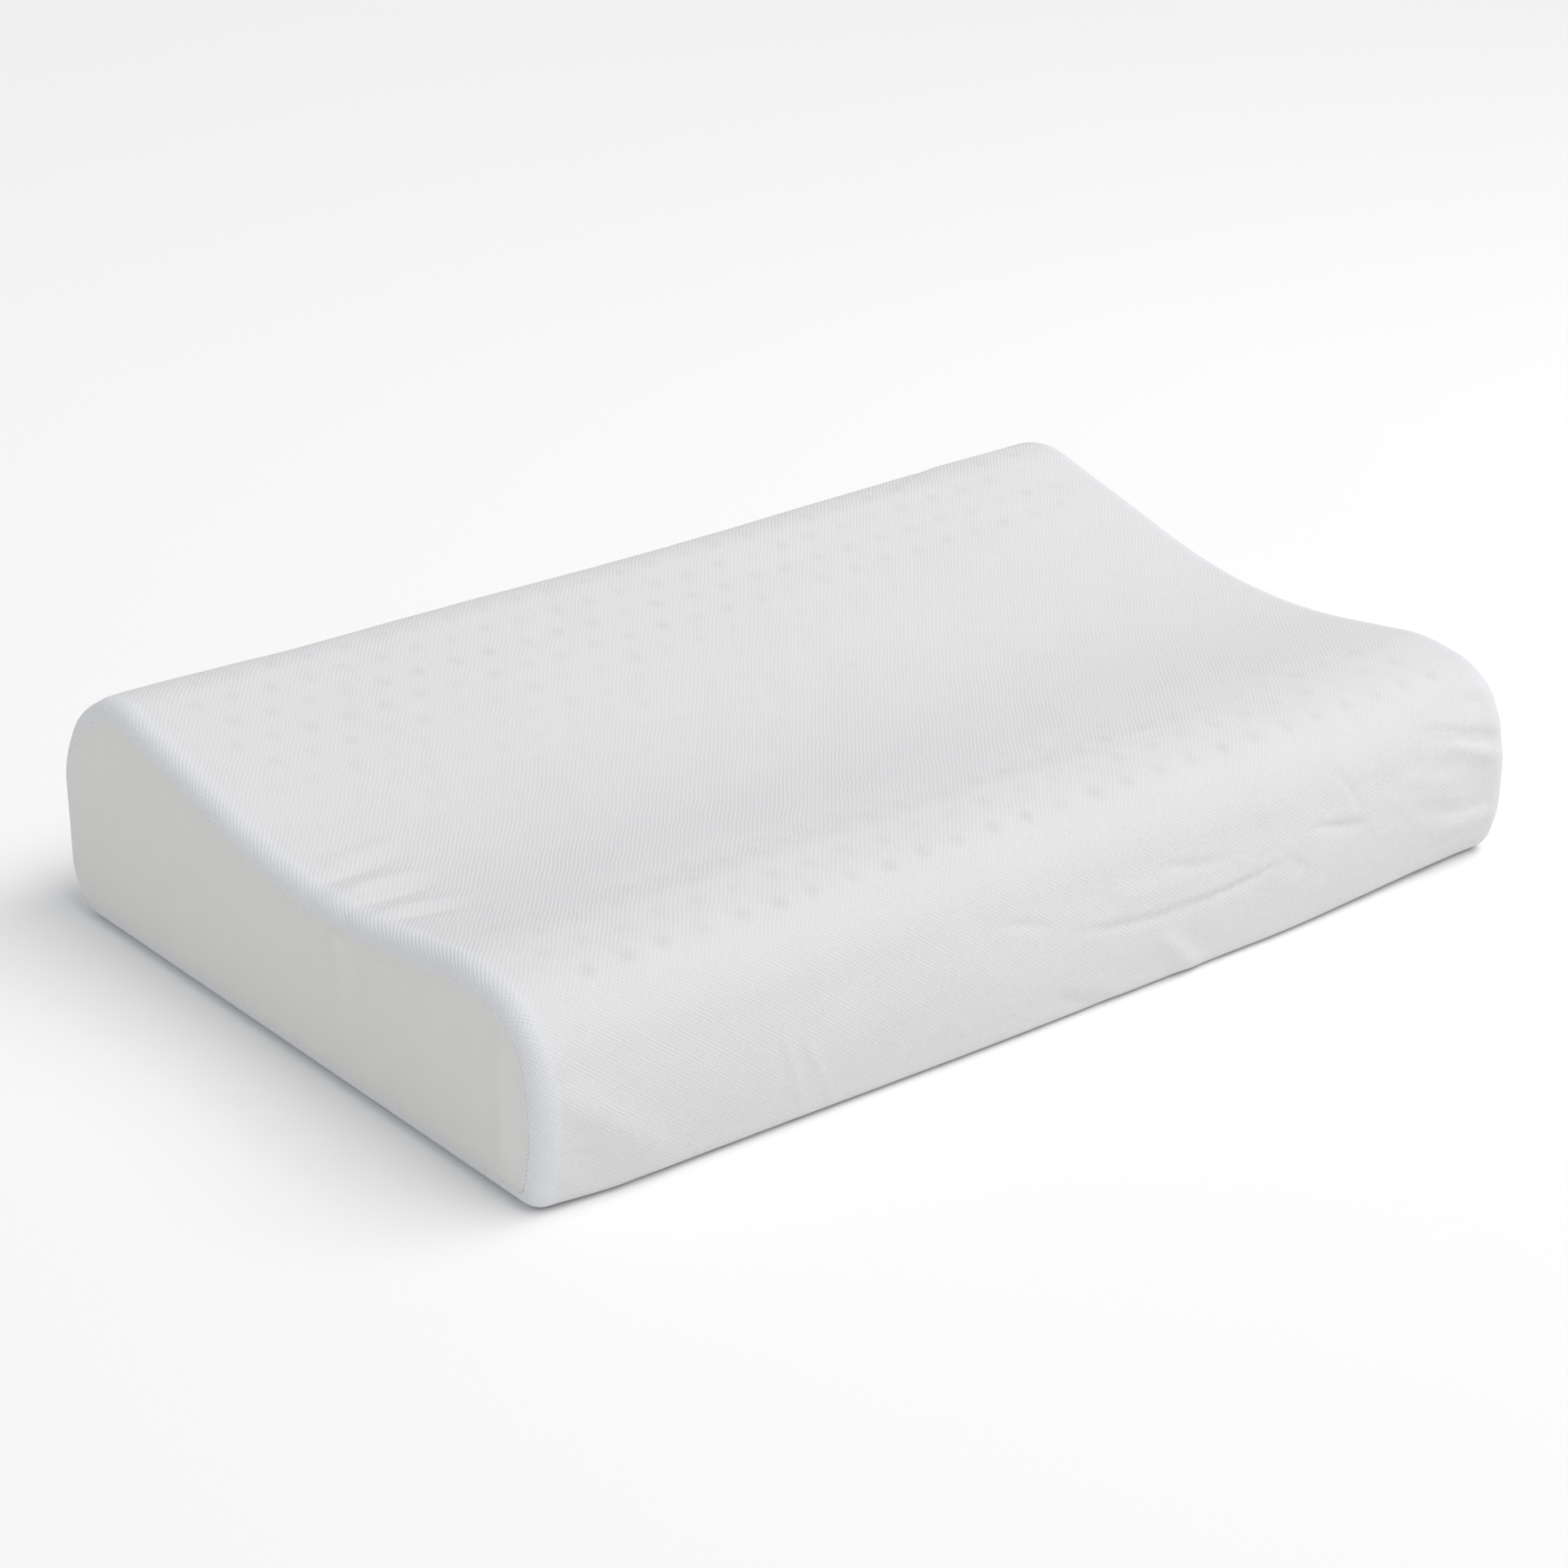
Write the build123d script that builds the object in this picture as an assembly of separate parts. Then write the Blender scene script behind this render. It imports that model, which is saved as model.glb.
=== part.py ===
"""Bed pillow: a contoured pin-core latex foam core in a zipped jersey cover.

Frame: X along the pillow's length, +Y towards the high lobe (the rear), +Z up, millimetres.
The origin lies on the flat underside, halfway along the length.
"""

from build123d import *
from math import hypot
import os

# ---- overall size ----
LENGTH = 600.0  # end to end, along X

# ---- cross-section of the cover's outside: corners (y, z) and their rounding radii, clockwise ----
OUTLINE = [
    (-192.0, 0.0),  # lower front edge
    (-203.0, 37.0),  # bulge of the front face
    (-192.0, 96.5),  # front shoulder
    (-141.5, 104.0),  # crest of the low lobe
    (-21.0, 88.0),  # hollow for the head
    (152.0, 129.5),  # crest of the high lobe
    (188.0, 108.0),  # rear shoulder
    (204.0, 80.0),  # top of the upright rear wall
    (204.0, 20.0),  # foot of the upright rear wall
    (192.0, 0.0),  # lower rear edge
]
ROUNDING = [14.0, 105.0, 40.0, 98.0, 330.0, 46.0, 45.0, 55.0, 30.0, 14.0]
END_ROLL = 10.0  # radius with which the long panel rolls over each end

# ---- cover cloth ----
CLOTH = 0.8  # thickness of the jersey
SEAM_GAP = 0.4  # half the width of the groove between the two cloths at an end seam
SEAM_ALLOWANCE = 8.0  # depth of the turned-in edges at an end seam
SEAM_THREAD = 0.6  # diameter of the thread lying in the end seam

# ---- foam core ----
FOAM_GAP = 0.4  # between the cloth and the foam
# how far the foam's corners lie below the cloth's: the cloth bridges the hollow (corner 4)
# and rides a little slack over the crest of the high lobe (corner 5)
FOAM_SAG = {4: 5.0, 5: 3.0}
NO_SAG = {}
ALLOWANCE_ROOM = 0.4  # room that the foam leaves around the turned-in seam edges

# ---- pin-core holes of the foam, moulded from both faces ----
PIN_DIAMETER = 6.0
PIN_PITCH_X = 20.9
PIN_PITCH_Y = 17.6
PINS_PER_ROW = 26
PIN_ROWS = 20
FIRST_PIN_ROW = -173.5  # y of the front row
PIN_WEB = (40.0, 52.0)  # heights between which the foam stays whole

# ---- zip on the upright rear wall ----
REAR_WALL = 204.0  # y of the wall's outside
ZIP_HEIGHT = 46.0  # z of the zip's centre line
SLOT_LENGTH = 536.0  # opening between the two edges of the long panel
SLOT_WIDTH = 12.0
TAPE_LENGTH = 556.0
TAPE_WIDTH = 12.0
TAPE_THICKNESS = 0.6
TAPE_EDGE = 1.3  # from the centre line to each tape's inner edge
COIL_LENGTH = 518.0
COIL_EDGE = 1.0  # from the centre line to each coil row
COIL_WIDTH = 2.1
COIL_HEIGHT = 2.05
FIT = 0.05  # between pieces sewn or clamped together
STOP_GAP = 0.3  # between the end of the coils and a stop
STOP_LENGTH = 3.0
STOP_REACH = 3.4  # from the centre line to a stop's outer edge
STOP_PLATE = 0.85  # thickness of a stop behind the tape
STOP_WEB = 0.4  # from the centre line to the inner edge of a top stop
ZIP_ROOM = (3.3, 30.0)  # depth and height of the foam's relief behind the zip

# ---- slider and its pull tab ----
SLIDER_X = 252.0  # slider's centre with the zip closed
SLIDER_LENGTH = 10.0
SLIDER_WIDTH = 8.8
SLIDER_PLATE = 1.0
SLIDER_CORNER = 2.4  # corner radius of both plates
METAL_EDGE = 0.3  # rounding of the outer edges of the metal pieces
SLIDER_GAP = 0.25  # between the plates and what runs between them
FLANGE = 0.9  # thickness of the rims turned in along the outer plate
POST_WIDTH = 1.4  # wedge that parts the coils
POST_LENGTH = 3.0
POST_OFFSET = 2.8  # from the slider's centre to the wedge's centre
LUG_WIDTH = 1.8
LUG_RADIUS = 1.4
PIVOT_HEIGHT = 1.2  # from the outer plate to the tab's pivot axis
PIVOT_RADIUS = 0.6
PIVOT_CLEARANCE = 0.06
TAB_LENGTH = 26.0  # from the pivot to the tip
TAB_WIDTH = 6.4
TAB_THICKNESS = 1.2
FORK_LENGTH = 3.6  # from the pivot to the solid part of the tab
FORK_GAP = 2.4  # between the two prongs
FORK_WIDTH = 4.8  # across the two prongs
GRIP_LENGTH = 9.0  # the window near the tab's tip
GRIP_WIDTH = 3.0

# ---- sewing at the zip, end patches and label ----
STITCH_OFFSET = 2.5  # from the cloth's folded edge to the line of stitches
STITCH_WIDTH = 0.5
STITCH_HEIGHT = 0.3
PATCH_LENGTH = 20.0
PATCH_WIDTH = 20.0
PATCH_THICKNESS = 0.6
PATCH_CENTRE = 274.0  # distance of a patch's centre from the middle of the zip
LABEL_WIDTH = 30.0
LABEL_DROP = 40.0
LABEL_THICKNESS = 0.4
LABEL_CENTRE = 132.0  # y of the label's middle
LABEL_TOP = 112.0  # z of its sewn edge
LABEL_GAP = 0.25  # between the label and the end panel

# ---- worked out from the sizes above ----
HALF = LENGTH / 2
CLOTH_INSIDE = REAR_WALL - CLOTH
TAPE_FRONT = CLOTH_INSIDE - FIT  # y of the tapes' outer faces
TAPE_BACK = TAPE_FRONT - TAPE_THICKNESS
COIL_TOP = TAPE_FRONT + FIT + COIL_HEIGHT
PLATE_BOTTOM = COIL_TOP + SLIDER_GAP
PLATE_TOP = PLATE_BOTTOM + SLIDER_PLATE
PIVOT_Y = PLATE_TOP + PIVOT_HEIGHT


def block(x_range, y_range, z_range):
    """Box between two limits along each axis."""
    size = [high - low for low, high in (x_range, y_range, z_range)]
    centre = [(high + low) / 2 for low, high in (x_range, y_range, z_range)]
    return Pos(*centre) * Box(*size)


def inset_outline(corners, radii, inset):
    """Corners and radii of the outline moved inwards by inset all the way round."""
    moved, rounded = [], []
    for i, (y, z) in enumerate(corners):
        before, after = corners[i - 1], corners[(i + 1) % len(corners)]
        way_in = (y - before[0], z - before[1])
        way_out = (after[0] - y, after[1] - z)
        # unit normals of the two sides, pointing into the section
        n1 = (way_in[1] / hypot(*way_in), -way_in[0] / hypot(*way_in))
        n2 = (way_out[1] / hypot(*way_out), -way_out[0] / hypot(*way_out))
        scale = inset / (1 + n1[0] * n2[0] + n1[1] * n2[1])
        moved.append((y + scale * (n1[0] + n2[0]), z + scale * (n1[1] + n2[1])))
        convex = way_in[0] * way_out[1] - way_in[1] * way_out[0] < 0
        rounded.append(radii[i] - inset if convex else radii[i] + inset)
    return moved, rounded


def section(inset, sag=NO_SAG):
    """Closed rounded outline on the YZ plane, inset from the cover's outside."""
    corners = [(y, z - sag.get(i, 0.0)) for i, (y, z) in enumerate(OUTLINE)]
    moved, radii = inset_outline(corners, ROUNDING, inset)
    return Plane.YZ * FilletPolyline(*moved, radius=radii, close=True)


def prism(inset, start, end, sag=NO_SAG):
    """Solid of the inset section between two stations along X."""
    face = make_face(section(inset, sag))
    return Pos(start, 0, 0) * extrude(face, end - start, dir=(1, 0, 0))


def ring(outer, inner, start, end):
    """Band between two insets of the section, from start to end along X."""
    return prism(outer, start, end) - prism(inner, start, end)


def body(inset, sag=NO_SAG):
    """Whole pillow shape at an inset, with its ends rolled over."""
    plain = prism(inset, inset - HALF, HALF - inset, sag)
    ends = plain.faces().filter_by(Axis.X).edges()
    return fillet(ends, END_ROLL - inset)


def both_ends(start, end):
    """The span from start to end along X, and its mirror image at the other end."""
    return [(start, end), (-end, -start)]


def cover_wrap():
    """Long jersey panel round the core, with turned-in ends and the zip's slot."""
    wrap = body(0) - body(CLOTH)
    edge = END_ROLL - SEAM_GAP
    for start, end in both_ends(HALF - SEAM_ALLOWANCE, HALF + 1):
        wrap -= prism(edge, start, end)
    for start, end in both_ends(HALF - SEAM_ALLOWANCE, HALF - CLOTH / 2):
        wrap += ring(edge - CLOTH, edge, start, end)
    wrap -= block(
        (-SLOT_LENGTH / 2, SLOT_LENGTH / 2),
        (CLOTH_INSIDE - 1, REAR_WALL + 1),
        (ZIP_HEIGHT - SLOT_WIDTH / 2, ZIP_HEIGHT + SLOT_WIDTH / 2),
    )
    return wrap


def end_panel(side):
    """Flat end panel with its turned-in seam allowance; side is -1 (left) or 1 (right)."""
    edge = END_ROLL + SEAM_GAP
    panel = prism(edge, HALF - CLOTH, HALF)
    panel += ring(edge, edge + CLOTH, HALF - SEAM_ALLOWANCE, HALF - CLOTH)
    return panel if side > 0 else mirror(panel, Plane.YZ)


def seam_thread(side):
    """Closed loop of thread in the groove of an end seam."""
    x = side * (HALF - SEAM_THREAD / 2)
    path = Pos(x, 0, 0) * section(END_ROLL)
    start = path.edges()[0]
    profile = Plane(start @ 0, z_dir=start % 0) * Circle(SEAM_THREAD / 2)
    return sweep(profile, path)


def pin_centres():
    """Centres of the moulding pins: staggered rows, each 26 pins long."""
    for row in range(PIN_ROWS):
        y = FIRST_PIN_ROW + row * PIN_PITCH_Y
        stagger = PIN_PITCH_X / 4 if row % 2 == 0 else -PIN_PITCH_X / 4
        for i in range(PINS_PER_ROW):
            yield stagger + (i - (PINS_PER_ROW - 1) / 2) * PIN_PITCH_X, y


def latex_core():
    """Foam block, hollowed under the head, with blind pin holes from above and below."""
    core = body(CLOTH + FOAM_GAP, FOAM_SAG)
    outer = END_ROLL - SEAM_GAP - CLOTH - ALLOWANCE_ROOM
    inner = END_ROLL + SEAM_GAP + CLOTH + ALLOWANCE_ROOM
    for start, end in both_ends(HALF - SEAM_ALLOWANCE - ALLOWANCE_ROOM, HALF):
        core -= ring(outer, inner, start, end)
    depth, height = ZIP_ROOM
    core -= block(
        (-TAPE_LENGTH / 2 - 1, TAPE_LENGTH / 2 + 1),
        (CLOTH_INSIDE - depth, REAR_WALL),
        (ZIP_HEIGHT - height / 2, ZIP_HEIGHT + height / 2),
    )
    web_low, web_high = PIN_WEB
    above = max(z for _, z in OUTLINE)
    pins = []
    for x, y in pin_centres():
        for low, high in ((-1.0, web_low), (web_high, above)):
            middle = (low + high) / 2
            pins.append(Pos(x, y, middle) * Cylinder(PIN_DIAMETER / 2, high - low))
    return core - pins


def zip_tape(side):
    """Woven tape behind one edge of the slot; side is 1 (upper) or -1 (lower)."""
    near, far = TAPE_EDGE, TAPE_EDGE + TAPE_WIDTH
    z_range = sorted((ZIP_HEIGHT + side * near, ZIP_HEIGHT + side * far))
    return block((-TAPE_LENGTH / 2, TAPE_LENGTH / 2), (TAPE_BACK, TAPE_FRONT), z_range)


def zip_coil(side):
    """One row of the nylon coil, sewn on the outside of its tape."""
    near, far = COIL_EDGE, COIL_EDGE + COIL_WIDTH
    z_range = sorted((ZIP_HEIGHT + side * near, ZIP_HEIGHT + side * far))
    y_range = (TAPE_FRONT + FIT, COIL_TOP)
    return block((-COIL_LENGTH / 2, COIL_LENGTH / 2), y_range, z_range)


def stop_clamp(x_range, inner, outer):
    """Metal clamp that grips the tape between two plates joined at its inner edge."""
    z_range = (ZIP_HEIGHT + inner, ZIP_HEIGHT + outer)
    clamp = block(x_range, (TAPE_BACK - STOP_PLATE, COIL_TOP), z_range)
    tape_z = (ZIP_HEIGHT + TAPE_EDGE - FIT, ZIP_HEIGHT + outer)
    clamp -= block(x_range, (TAPE_BACK - FIT, TAPE_FRONT + FIT), tape_z)
    outer_face = clamp.faces().sort_by(Axis.Y)[-1]
    return fillet(outer_face.edges(), METAL_EDGE)


def zip_top_stops():
    """Two clamps, one on each tape, past the closed end of the coils."""
    start = COIL_LENGTH / 2 + STOP_GAP
    upper = stop_clamp((start, start + STOP_LENGTH), STOP_WEB, STOP_REACH)
    return Compound([upper, mirror(upper, Plane.XY.offset(ZIP_HEIGHT))])


def zip_bottom_stop():
    """One clamp across both tapes at the other end."""
    end = -COIL_LENGTH / 2 - STOP_GAP
    upper = stop_clamp((end - STOP_LENGTH, end), 0.0, STOP_REACH)
    return upper + mirror(upper, Plane.XY.offset(ZIP_HEIGHT))


def slider_plate(y_low, y_high):
    """Rounded plate of the slider between two depths."""
    outline = RectangleRounded(SLIDER_LENGTH, SLIDER_WIDTH, SLIDER_CORNER)
    face = Plane.XZ * outline
    return Pos(SLIDER_X, y_high, ZIP_HEIGHT) * extrude(face, y_high - y_low)


def zip_slider():
    """Slider: two plates on a wedge, rims over the coils, and the lug for the tab."""
    inner_top = TAPE_BACK - SLIDER_GAP
    outer_plate = slider_plate(PLATE_BOTTOM, PLATE_TOP)
    slider = fillet(outer_plate.faces().sort_by(Axis.Y)[-1].edges(), METAL_EDGE)
    slider += slider_plate(inner_top - SLIDER_PLATE, inner_top)
    post_x = SLIDER_X + POST_OFFSET
    slider += block(
        (post_x - POST_LENGTH / 2, post_x + POST_LENGTH / 2),
        (inner_top, PLATE_BOTTOM),
        (ZIP_HEIGHT - POST_WIDTH / 2, ZIP_HEIGHT + POST_WIDTH / 2),
    )
    rim_length = SLIDER_LENGTH / 2 - SLIDER_CORNER
    for side in (-1, 1):
        edge = side * SLIDER_WIDTH / 2
        z_range = sorted((ZIP_HEIGHT + edge, ZIP_HEIGHT + edge - side * FLANGE))
        x_range = (SLIDER_X - rim_length, SLIDER_X + rim_length)
        slider += block(x_range, (TAPE_FRONT + SLIDER_GAP, PLATE_BOTTOM), z_range)
    pivot = Pos(SLIDER_X, PIVOT_Y, ZIP_HEIGHT)
    slider += pivot * Cylinder(LUG_RADIUS, LUG_WIDTH)
    slider += block(
        (SLIDER_X - LUG_RADIUS, SLIDER_X + LUG_RADIUS),
        (PLATE_TOP, PIVOT_Y),
        (ZIP_HEIGHT - LUG_WIDTH / 2, ZIP_HEIGHT + LUG_WIDTH / 2),
    )
    return slider - pivot * Cylinder(PIVOT_RADIUS + PIVOT_CLEARANCE, LUG_WIDTH + 1)


def zip_pull_tab():
    """Pull tab lying flat along the closed chain, forked over the slider's lug."""
    blade_length = TAB_LENGTH - FORK_LENGTH
    blade = RectangleRounded(blade_length, TAB_WIDTH, TAB_WIDTH / 2 - 0.1)
    grip = Pos(GRIP_WIDTH - blade_length / 2 + GRIP_LENGTH / 2, 0) * SlotOverall(
        GRIP_LENGTH, GRIP_WIDTH
    )
    prongs = Pos(blade_length / 2 + FORK_LENGTH / 2 - 1, 0) * Rectangle(
        FORK_LENGTH + 2, FORK_WIDTH
    )
    gap = Pos(blade_length / 2 + FORK_LENGTH / 2, 0) * Rectangle(FORK_LENGTH, FORK_GAP)
    outline = (blade + prongs) - grip - gap
    # the outline's local X points along +X of the pillow, its thickness along Y
    middle = Pos(
        SLIDER_X - FORK_LENGTH - blade_length / 2, PIVOT_Y + TAB_THICKNESS / 2, ZIP_HEIGHT
    )
    tab = middle * extrude(Plane.XZ * outline, TAB_THICKNESS)
    tab = fillet(tab.faces().filter_by(Axis.Y).edges(), METAL_EDGE)
    return tab + Pos(SLIDER_X, PIVOT_Y, ZIP_HEIGHT) * Cylinder(PIVOT_RADIUS, FORK_WIDTH)


def zip_stitch(side):
    """Line of machine stitches holding one edge of the slot to its tape."""
    z = ZIP_HEIGHT + side * (SLOT_WIDTH / 2 + STITCH_OFFSET)
    return block(
        (-SLOT_LENGTH / 2, SLOT_LENGTH / 2),
        (REAR_WALL + FIT, REAR_WALL + FIT + STITCH_HEIGHT),
        (z - STITCH_WIDTH / 2, z + STITCH_WIDTH / 2),
    )


def zip_end_patch(side):
    """Square of jersey sewn over one end of the zip."""
    low = REAR_WALL + FIT + STITCH_HEIGHT + FIT
    face = Plane.XZ * RectangleRounded(PATCH_LENGTH, PATCH_WIDTH, 2.0)
    patch = extrude(face, PATCH_THICKNESS)
    return Pos(side * PATCH_CENTRE, low + PATCH_THICKNESS, ZIP_HEIGHT) * patch


def care_label():
    """Blank woven label hanging from the right end seam."""
    return block(
        (HALF + LABEL_GAP, HALF + LABEL_GAP + LABEL_THICKNESS),
        (LABEL_CENTRE - LABEL_WIDTH / 2, LABEL_CENTRE + LABEL_WIDTH / 2),
        (LABEL_TOP - LABEL_DROP, LABEL_TOP),
    )


NODES = {
    "latex_core": latex_core,
    "cover_wrap": cover_wrap,
    "left_end_panel": lambda: end_panel(-1),
    "right_end_panel": lambda: end_panel(1),
    "left_seam_thread": lambda: seam_thread(-1),
    "right_seam_thread": lambda: seam_thread(1),
    "zip_tape_upper": lambda: zip_tape(1),
    "zip_tape_lower": lambda: zip_tape(-1),
    "zip_coil_upper": lambda: zip_coil(1),
    "zip_coil_lower": lambda: zip_coil(-1),
    "zip_top_stops": zip_top_stops,
    "zip_bottom_stop": zip_bottom_stop,
    "zip_slider": zip_slider,
    "zip_pull_tab": zip_pull_tab,
    "zip_stitch_upper": lambda: zip_stitch(1),
    "zip_stitch_lower": lambda: zip_stitch(-1),
    "zip_end_patch_left": lambda: zip_end_patch(-1),
    "zip_end_patch_right": lambda: zip_end_patch(1),
    "care_label": care_label,
}

os.makedirs("parts", exist_ok=True)
for name, make in NODES.items():
    export_step(make(), f"parts/{name}.step")
    print("wrote", name)
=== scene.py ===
# %% [markdown]
# # A contoured latex pillow in a jersey cover
#
# The real object is a moulded block of latex foam with a low lobe, a hollow for the head and a high
# lobe. It wears a zipped cover made of one long jersey panel, which runs right round the block, and two
# flat end panels. The foam's moulding pins leave rows of holes, and they show through the thin cloth as
# soft grey spots.
#
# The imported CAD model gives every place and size. This script loads it first, keeps its box, and then
# adds the cloth, the thread and the zip's fine parts around it. Everything is in metres.

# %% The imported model
from math import cos, pi, radians, sin

import bmesh
import bpy
import numpy as np
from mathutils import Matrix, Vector


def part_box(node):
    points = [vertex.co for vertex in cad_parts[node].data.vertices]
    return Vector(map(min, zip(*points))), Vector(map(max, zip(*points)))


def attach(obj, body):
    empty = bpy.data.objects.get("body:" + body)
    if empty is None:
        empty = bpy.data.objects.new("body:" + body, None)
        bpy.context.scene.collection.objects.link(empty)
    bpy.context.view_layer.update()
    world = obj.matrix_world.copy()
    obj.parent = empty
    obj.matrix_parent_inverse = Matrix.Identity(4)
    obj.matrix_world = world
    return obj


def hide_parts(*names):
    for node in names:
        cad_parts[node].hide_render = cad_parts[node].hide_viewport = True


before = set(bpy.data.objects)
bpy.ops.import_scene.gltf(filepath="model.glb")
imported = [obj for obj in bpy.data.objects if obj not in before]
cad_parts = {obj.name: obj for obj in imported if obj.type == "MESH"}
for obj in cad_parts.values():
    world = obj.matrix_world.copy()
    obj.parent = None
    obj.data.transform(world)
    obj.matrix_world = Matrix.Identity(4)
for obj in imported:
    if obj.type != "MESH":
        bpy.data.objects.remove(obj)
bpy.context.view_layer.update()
MM = 0.001
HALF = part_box("right_seam_thread")[1].x
print("nodes:", len(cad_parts), "half length:", round(HALF, 4))

# %% [markdown]
# ## Camera
#
# The camera looks down on the pillow's front left corner from about 1.9 m away, with a long lens, so
# the far end is only a little smaller than the near one. Azimuth and elevation are turned into the
# camera's own angles. The shift is tiny and only frames the pillow.

# %% Camera
AZIMUTH = radians(-38.825)
ELEVATION = radians(24.083)
camera_data = bpy.data.cameras.new("camera")
camera_data.sensor_width = 36
camera_data.lens = 91.2
camera_data.shift_x = -0.0097
camera_data.shift_y = 0.0028
camera = bpy.data.objects.new("camera", camera_data)
camera.location = (-1.1307, -1.4051, 0.8561)
camera.rotation_euler = (pi / 2 - ELEVATION, 0, AZIMUTH)
bpy.context.scene.collection.objects.link(camera)
bpy.context.scene.camera = camera
print("camera at", [round(c, 3) for c in camera.location])

# %% [markdown]
# ## Soft studio light
#
# White cloth on a white floor needs very even light: too much from one side makes the folds harsh, and
# too little hides them. A pale sky from all round gives most of it. A far, very soft light from above
# the front makes the low lobe's shoulder the brightest part and leaves the slope behind it a little
# darker. A nearer lamp at the right brightens that end and leaves the left end in gentle shade, where
# a weak low light grazes the end panel so that its slack folds show.

# %% Light
SKY_COLOUR = (0.965, 0.98, 1.0, 1.0)
SKY_STRENGTH = 0.51
WALL_STRENGTH = 0.90


def studio_world():
    """Sky that lights the pillow, and a paler wall that is only seen, past the floor's far edge."""
    world = bpy.data.worlds.new("studio_sky")
    world.use_nodes = True
    tree = world.node_tree
    sky = tree.nodes["Background"]
    wall = tree.nodes.new("ShaderNodeBackground")
    for background, strength in ((sky, SKY_STRENGTH), (wall, WALL_STRENGTH)):
        background.inputs["Color"].default_value = SKY_COLOUR
        background.inputs["Strength"].default_value = strength
    seen = tree.nodes.new("ShaderNodeLightPath")
    choose = tree.nodes.new("ShaderNodeMixShader")
    tree.links.new(seen.outputs["Is Camera Ray"], choose.inputs[0])
    tree.links.new(sky.outputs[0], choose.inputs[1])
    tree.links.new(wall.outputs[0], choose.inputs[2])
    tree.links.new(choose.outputs[0], tree.nodes["World Output"].inputs["Surface"])
    return world


def aim(light_object, direction):
    """Turns a light so that it shines against direction, which points from the pillow to the light."""
    light_object.rotation_euler = Vector(direction).to_track_quat("Z", "Y").to_euler()
    bpy.context.scene.collection.objects.link(light_object)


def add_far_light(name, direction, strength, softness, colour):
    """Light so far away that it is the same everywhere; softness is its angle across, in degrees."""
    light = bpy.data.lights.new(name, "SUN")
    light.energy = strength
    light.angle = radians(softness)
    light.color = colour
    aim(bpy.data.objects.new(name, light), direction)


def add_soft_lamp(name, place, width, power, colour):
    """Square area lamp of a given width in metres and power in watts, turned to face the pillow."""
    lamp = bpy.data.lights.new(name, "AREA")
    lamp.shape = "SQUARE"
    lamp.size = width
    lamp.energy = power
    lamp.color = colour
    lamp_object = bpy.data.objects.new(name, lamp)
    lamp_object.location = place
    aim(lamp_object, place)


bpy.context.scene.world = studio_world()
add_far_light("overhead_key", (0.20, -0.43, 0.88), 1.38, 46, (1.0, 0.985, 0.965))
add_soft_lamp("right_lamp", (1.1, -0.55, 1.7), 0.9, 8.0, (1.0, 0.98, 0.975))
add_far_light("left_fill", (-0.93, -0.32, 0.19), 0.17, 20, (1.0, 0.995, 0.97))
bpy.context.scene.view_settings.view_transform = "Standard"
print("sky strength", SKY_STRENGTH, "and", len(bpy.data.lights), "lights")

# %% [markdown]
# ## Building blocks
#
# Every new piece is a grid of points worked out with numpy. The helpers below turn such a grid into a
# mesh: they number the quads row by row, make sure that they face outwards, and store the cloth's own
# flat coordinates as a UV map, so that the knit follows the cloth instead of the room.

# %% Mesh helpers
WELD_WITHIN = 0.002 * MM


def grid_quads(rows, columns, close_rows=False, close_columns=False):
    """Quads between neighbours of a grid; a closed direction joins its last line to its first."""
    i = np.arange(rows if close_rows else rows - 1)[:, None]
    j = np.arange(columns if close_columns else columns - 1)[None, :]
    below, right = (i + 1) % rows, (j + 1) % columns
    corners = [i * columns + j, below * columns + j, below * columns + right, i * columns + right]
    return np.stack([np.broadcast_to(c, (len(i), j.shape[1])) for c in corners], -1).reshape(-1, 4)


def face_outwards(points, quads, towards=None):
    """Turns all quads round if their normals point inwards, or against towards where it is given."""
    p = points[quads]
    normals = np.cross(p[:, 2] - p[:, 0], p[:, 3] - p[:, 1])
    if towards is None:
        measure = np.sum(normals * (p.mean(1) - points.mean(0)))
    else:
        measure = np.sum(normals @ np.asarray(towards, float))
    return quads if measure > 0 else quads[:, ::-1]


def make_piece(name, points, quads, material, cloth=None, towards=None, values=None, weld=False):
    """Mesh object from points and quads, with a flat (u, v) and named values per point if given."""
    points = np.asarray(points, float).reshape(-1, 3)
    quads = face_outwards(points, quads, towards)
    mesh = bpy.data.meshes.new(name)
    mesh.vertices.add(len(points))
    mesh.vertices.foreach_set("co", points.astype(np.float32).ravel())
    mesh.loops.add(quads.size)
    mesh.loops.foreach_set("vertex_index", quads.astype(np.int32).ravel())
    mesh.polygons.add(len(quads))
    mesh.polygons.foreach_set("loop_start", np.arange(0, quads.size, 4, dtype=np.int32))
    mesh.update(calc_edges=True)
    mesh.polygons.foreach_set("use_smooth", np.ones(len(quads), bool))
    if cloth is not None:
        layer = mesh.uv_layers.new(name="cloth")
        flat = np.asarray(cloth, np.float32).reshape(-1, 2)[quads.ravel()]
        layer.data.foreach_set("uv", flat.ravel())
    for key, value in (values or {}).items():
        attribute = mesh.attributes.new(key, "FLOAT", "POINT")
        attribute.data.foreach_set("value", np.asarray(value, np.float32).ravel())
    if weld:
        work = bmesh.new()
        work.from_mesh(mesh)
        bmesh.ops.remove_doubles(work, verts=work.verts, dist=WELD_WITHIN)
        work.to_mesh(mesh)
        work.free()
    mesh.materials.append(material)
    piece = bpy.data.objects.new(name, mesh)
    bpy.context.scene.collection.objects.link(piece)
    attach(piece, "pillow")
    print(name, len(mesh.polygons), "faces")
    return piece


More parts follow.
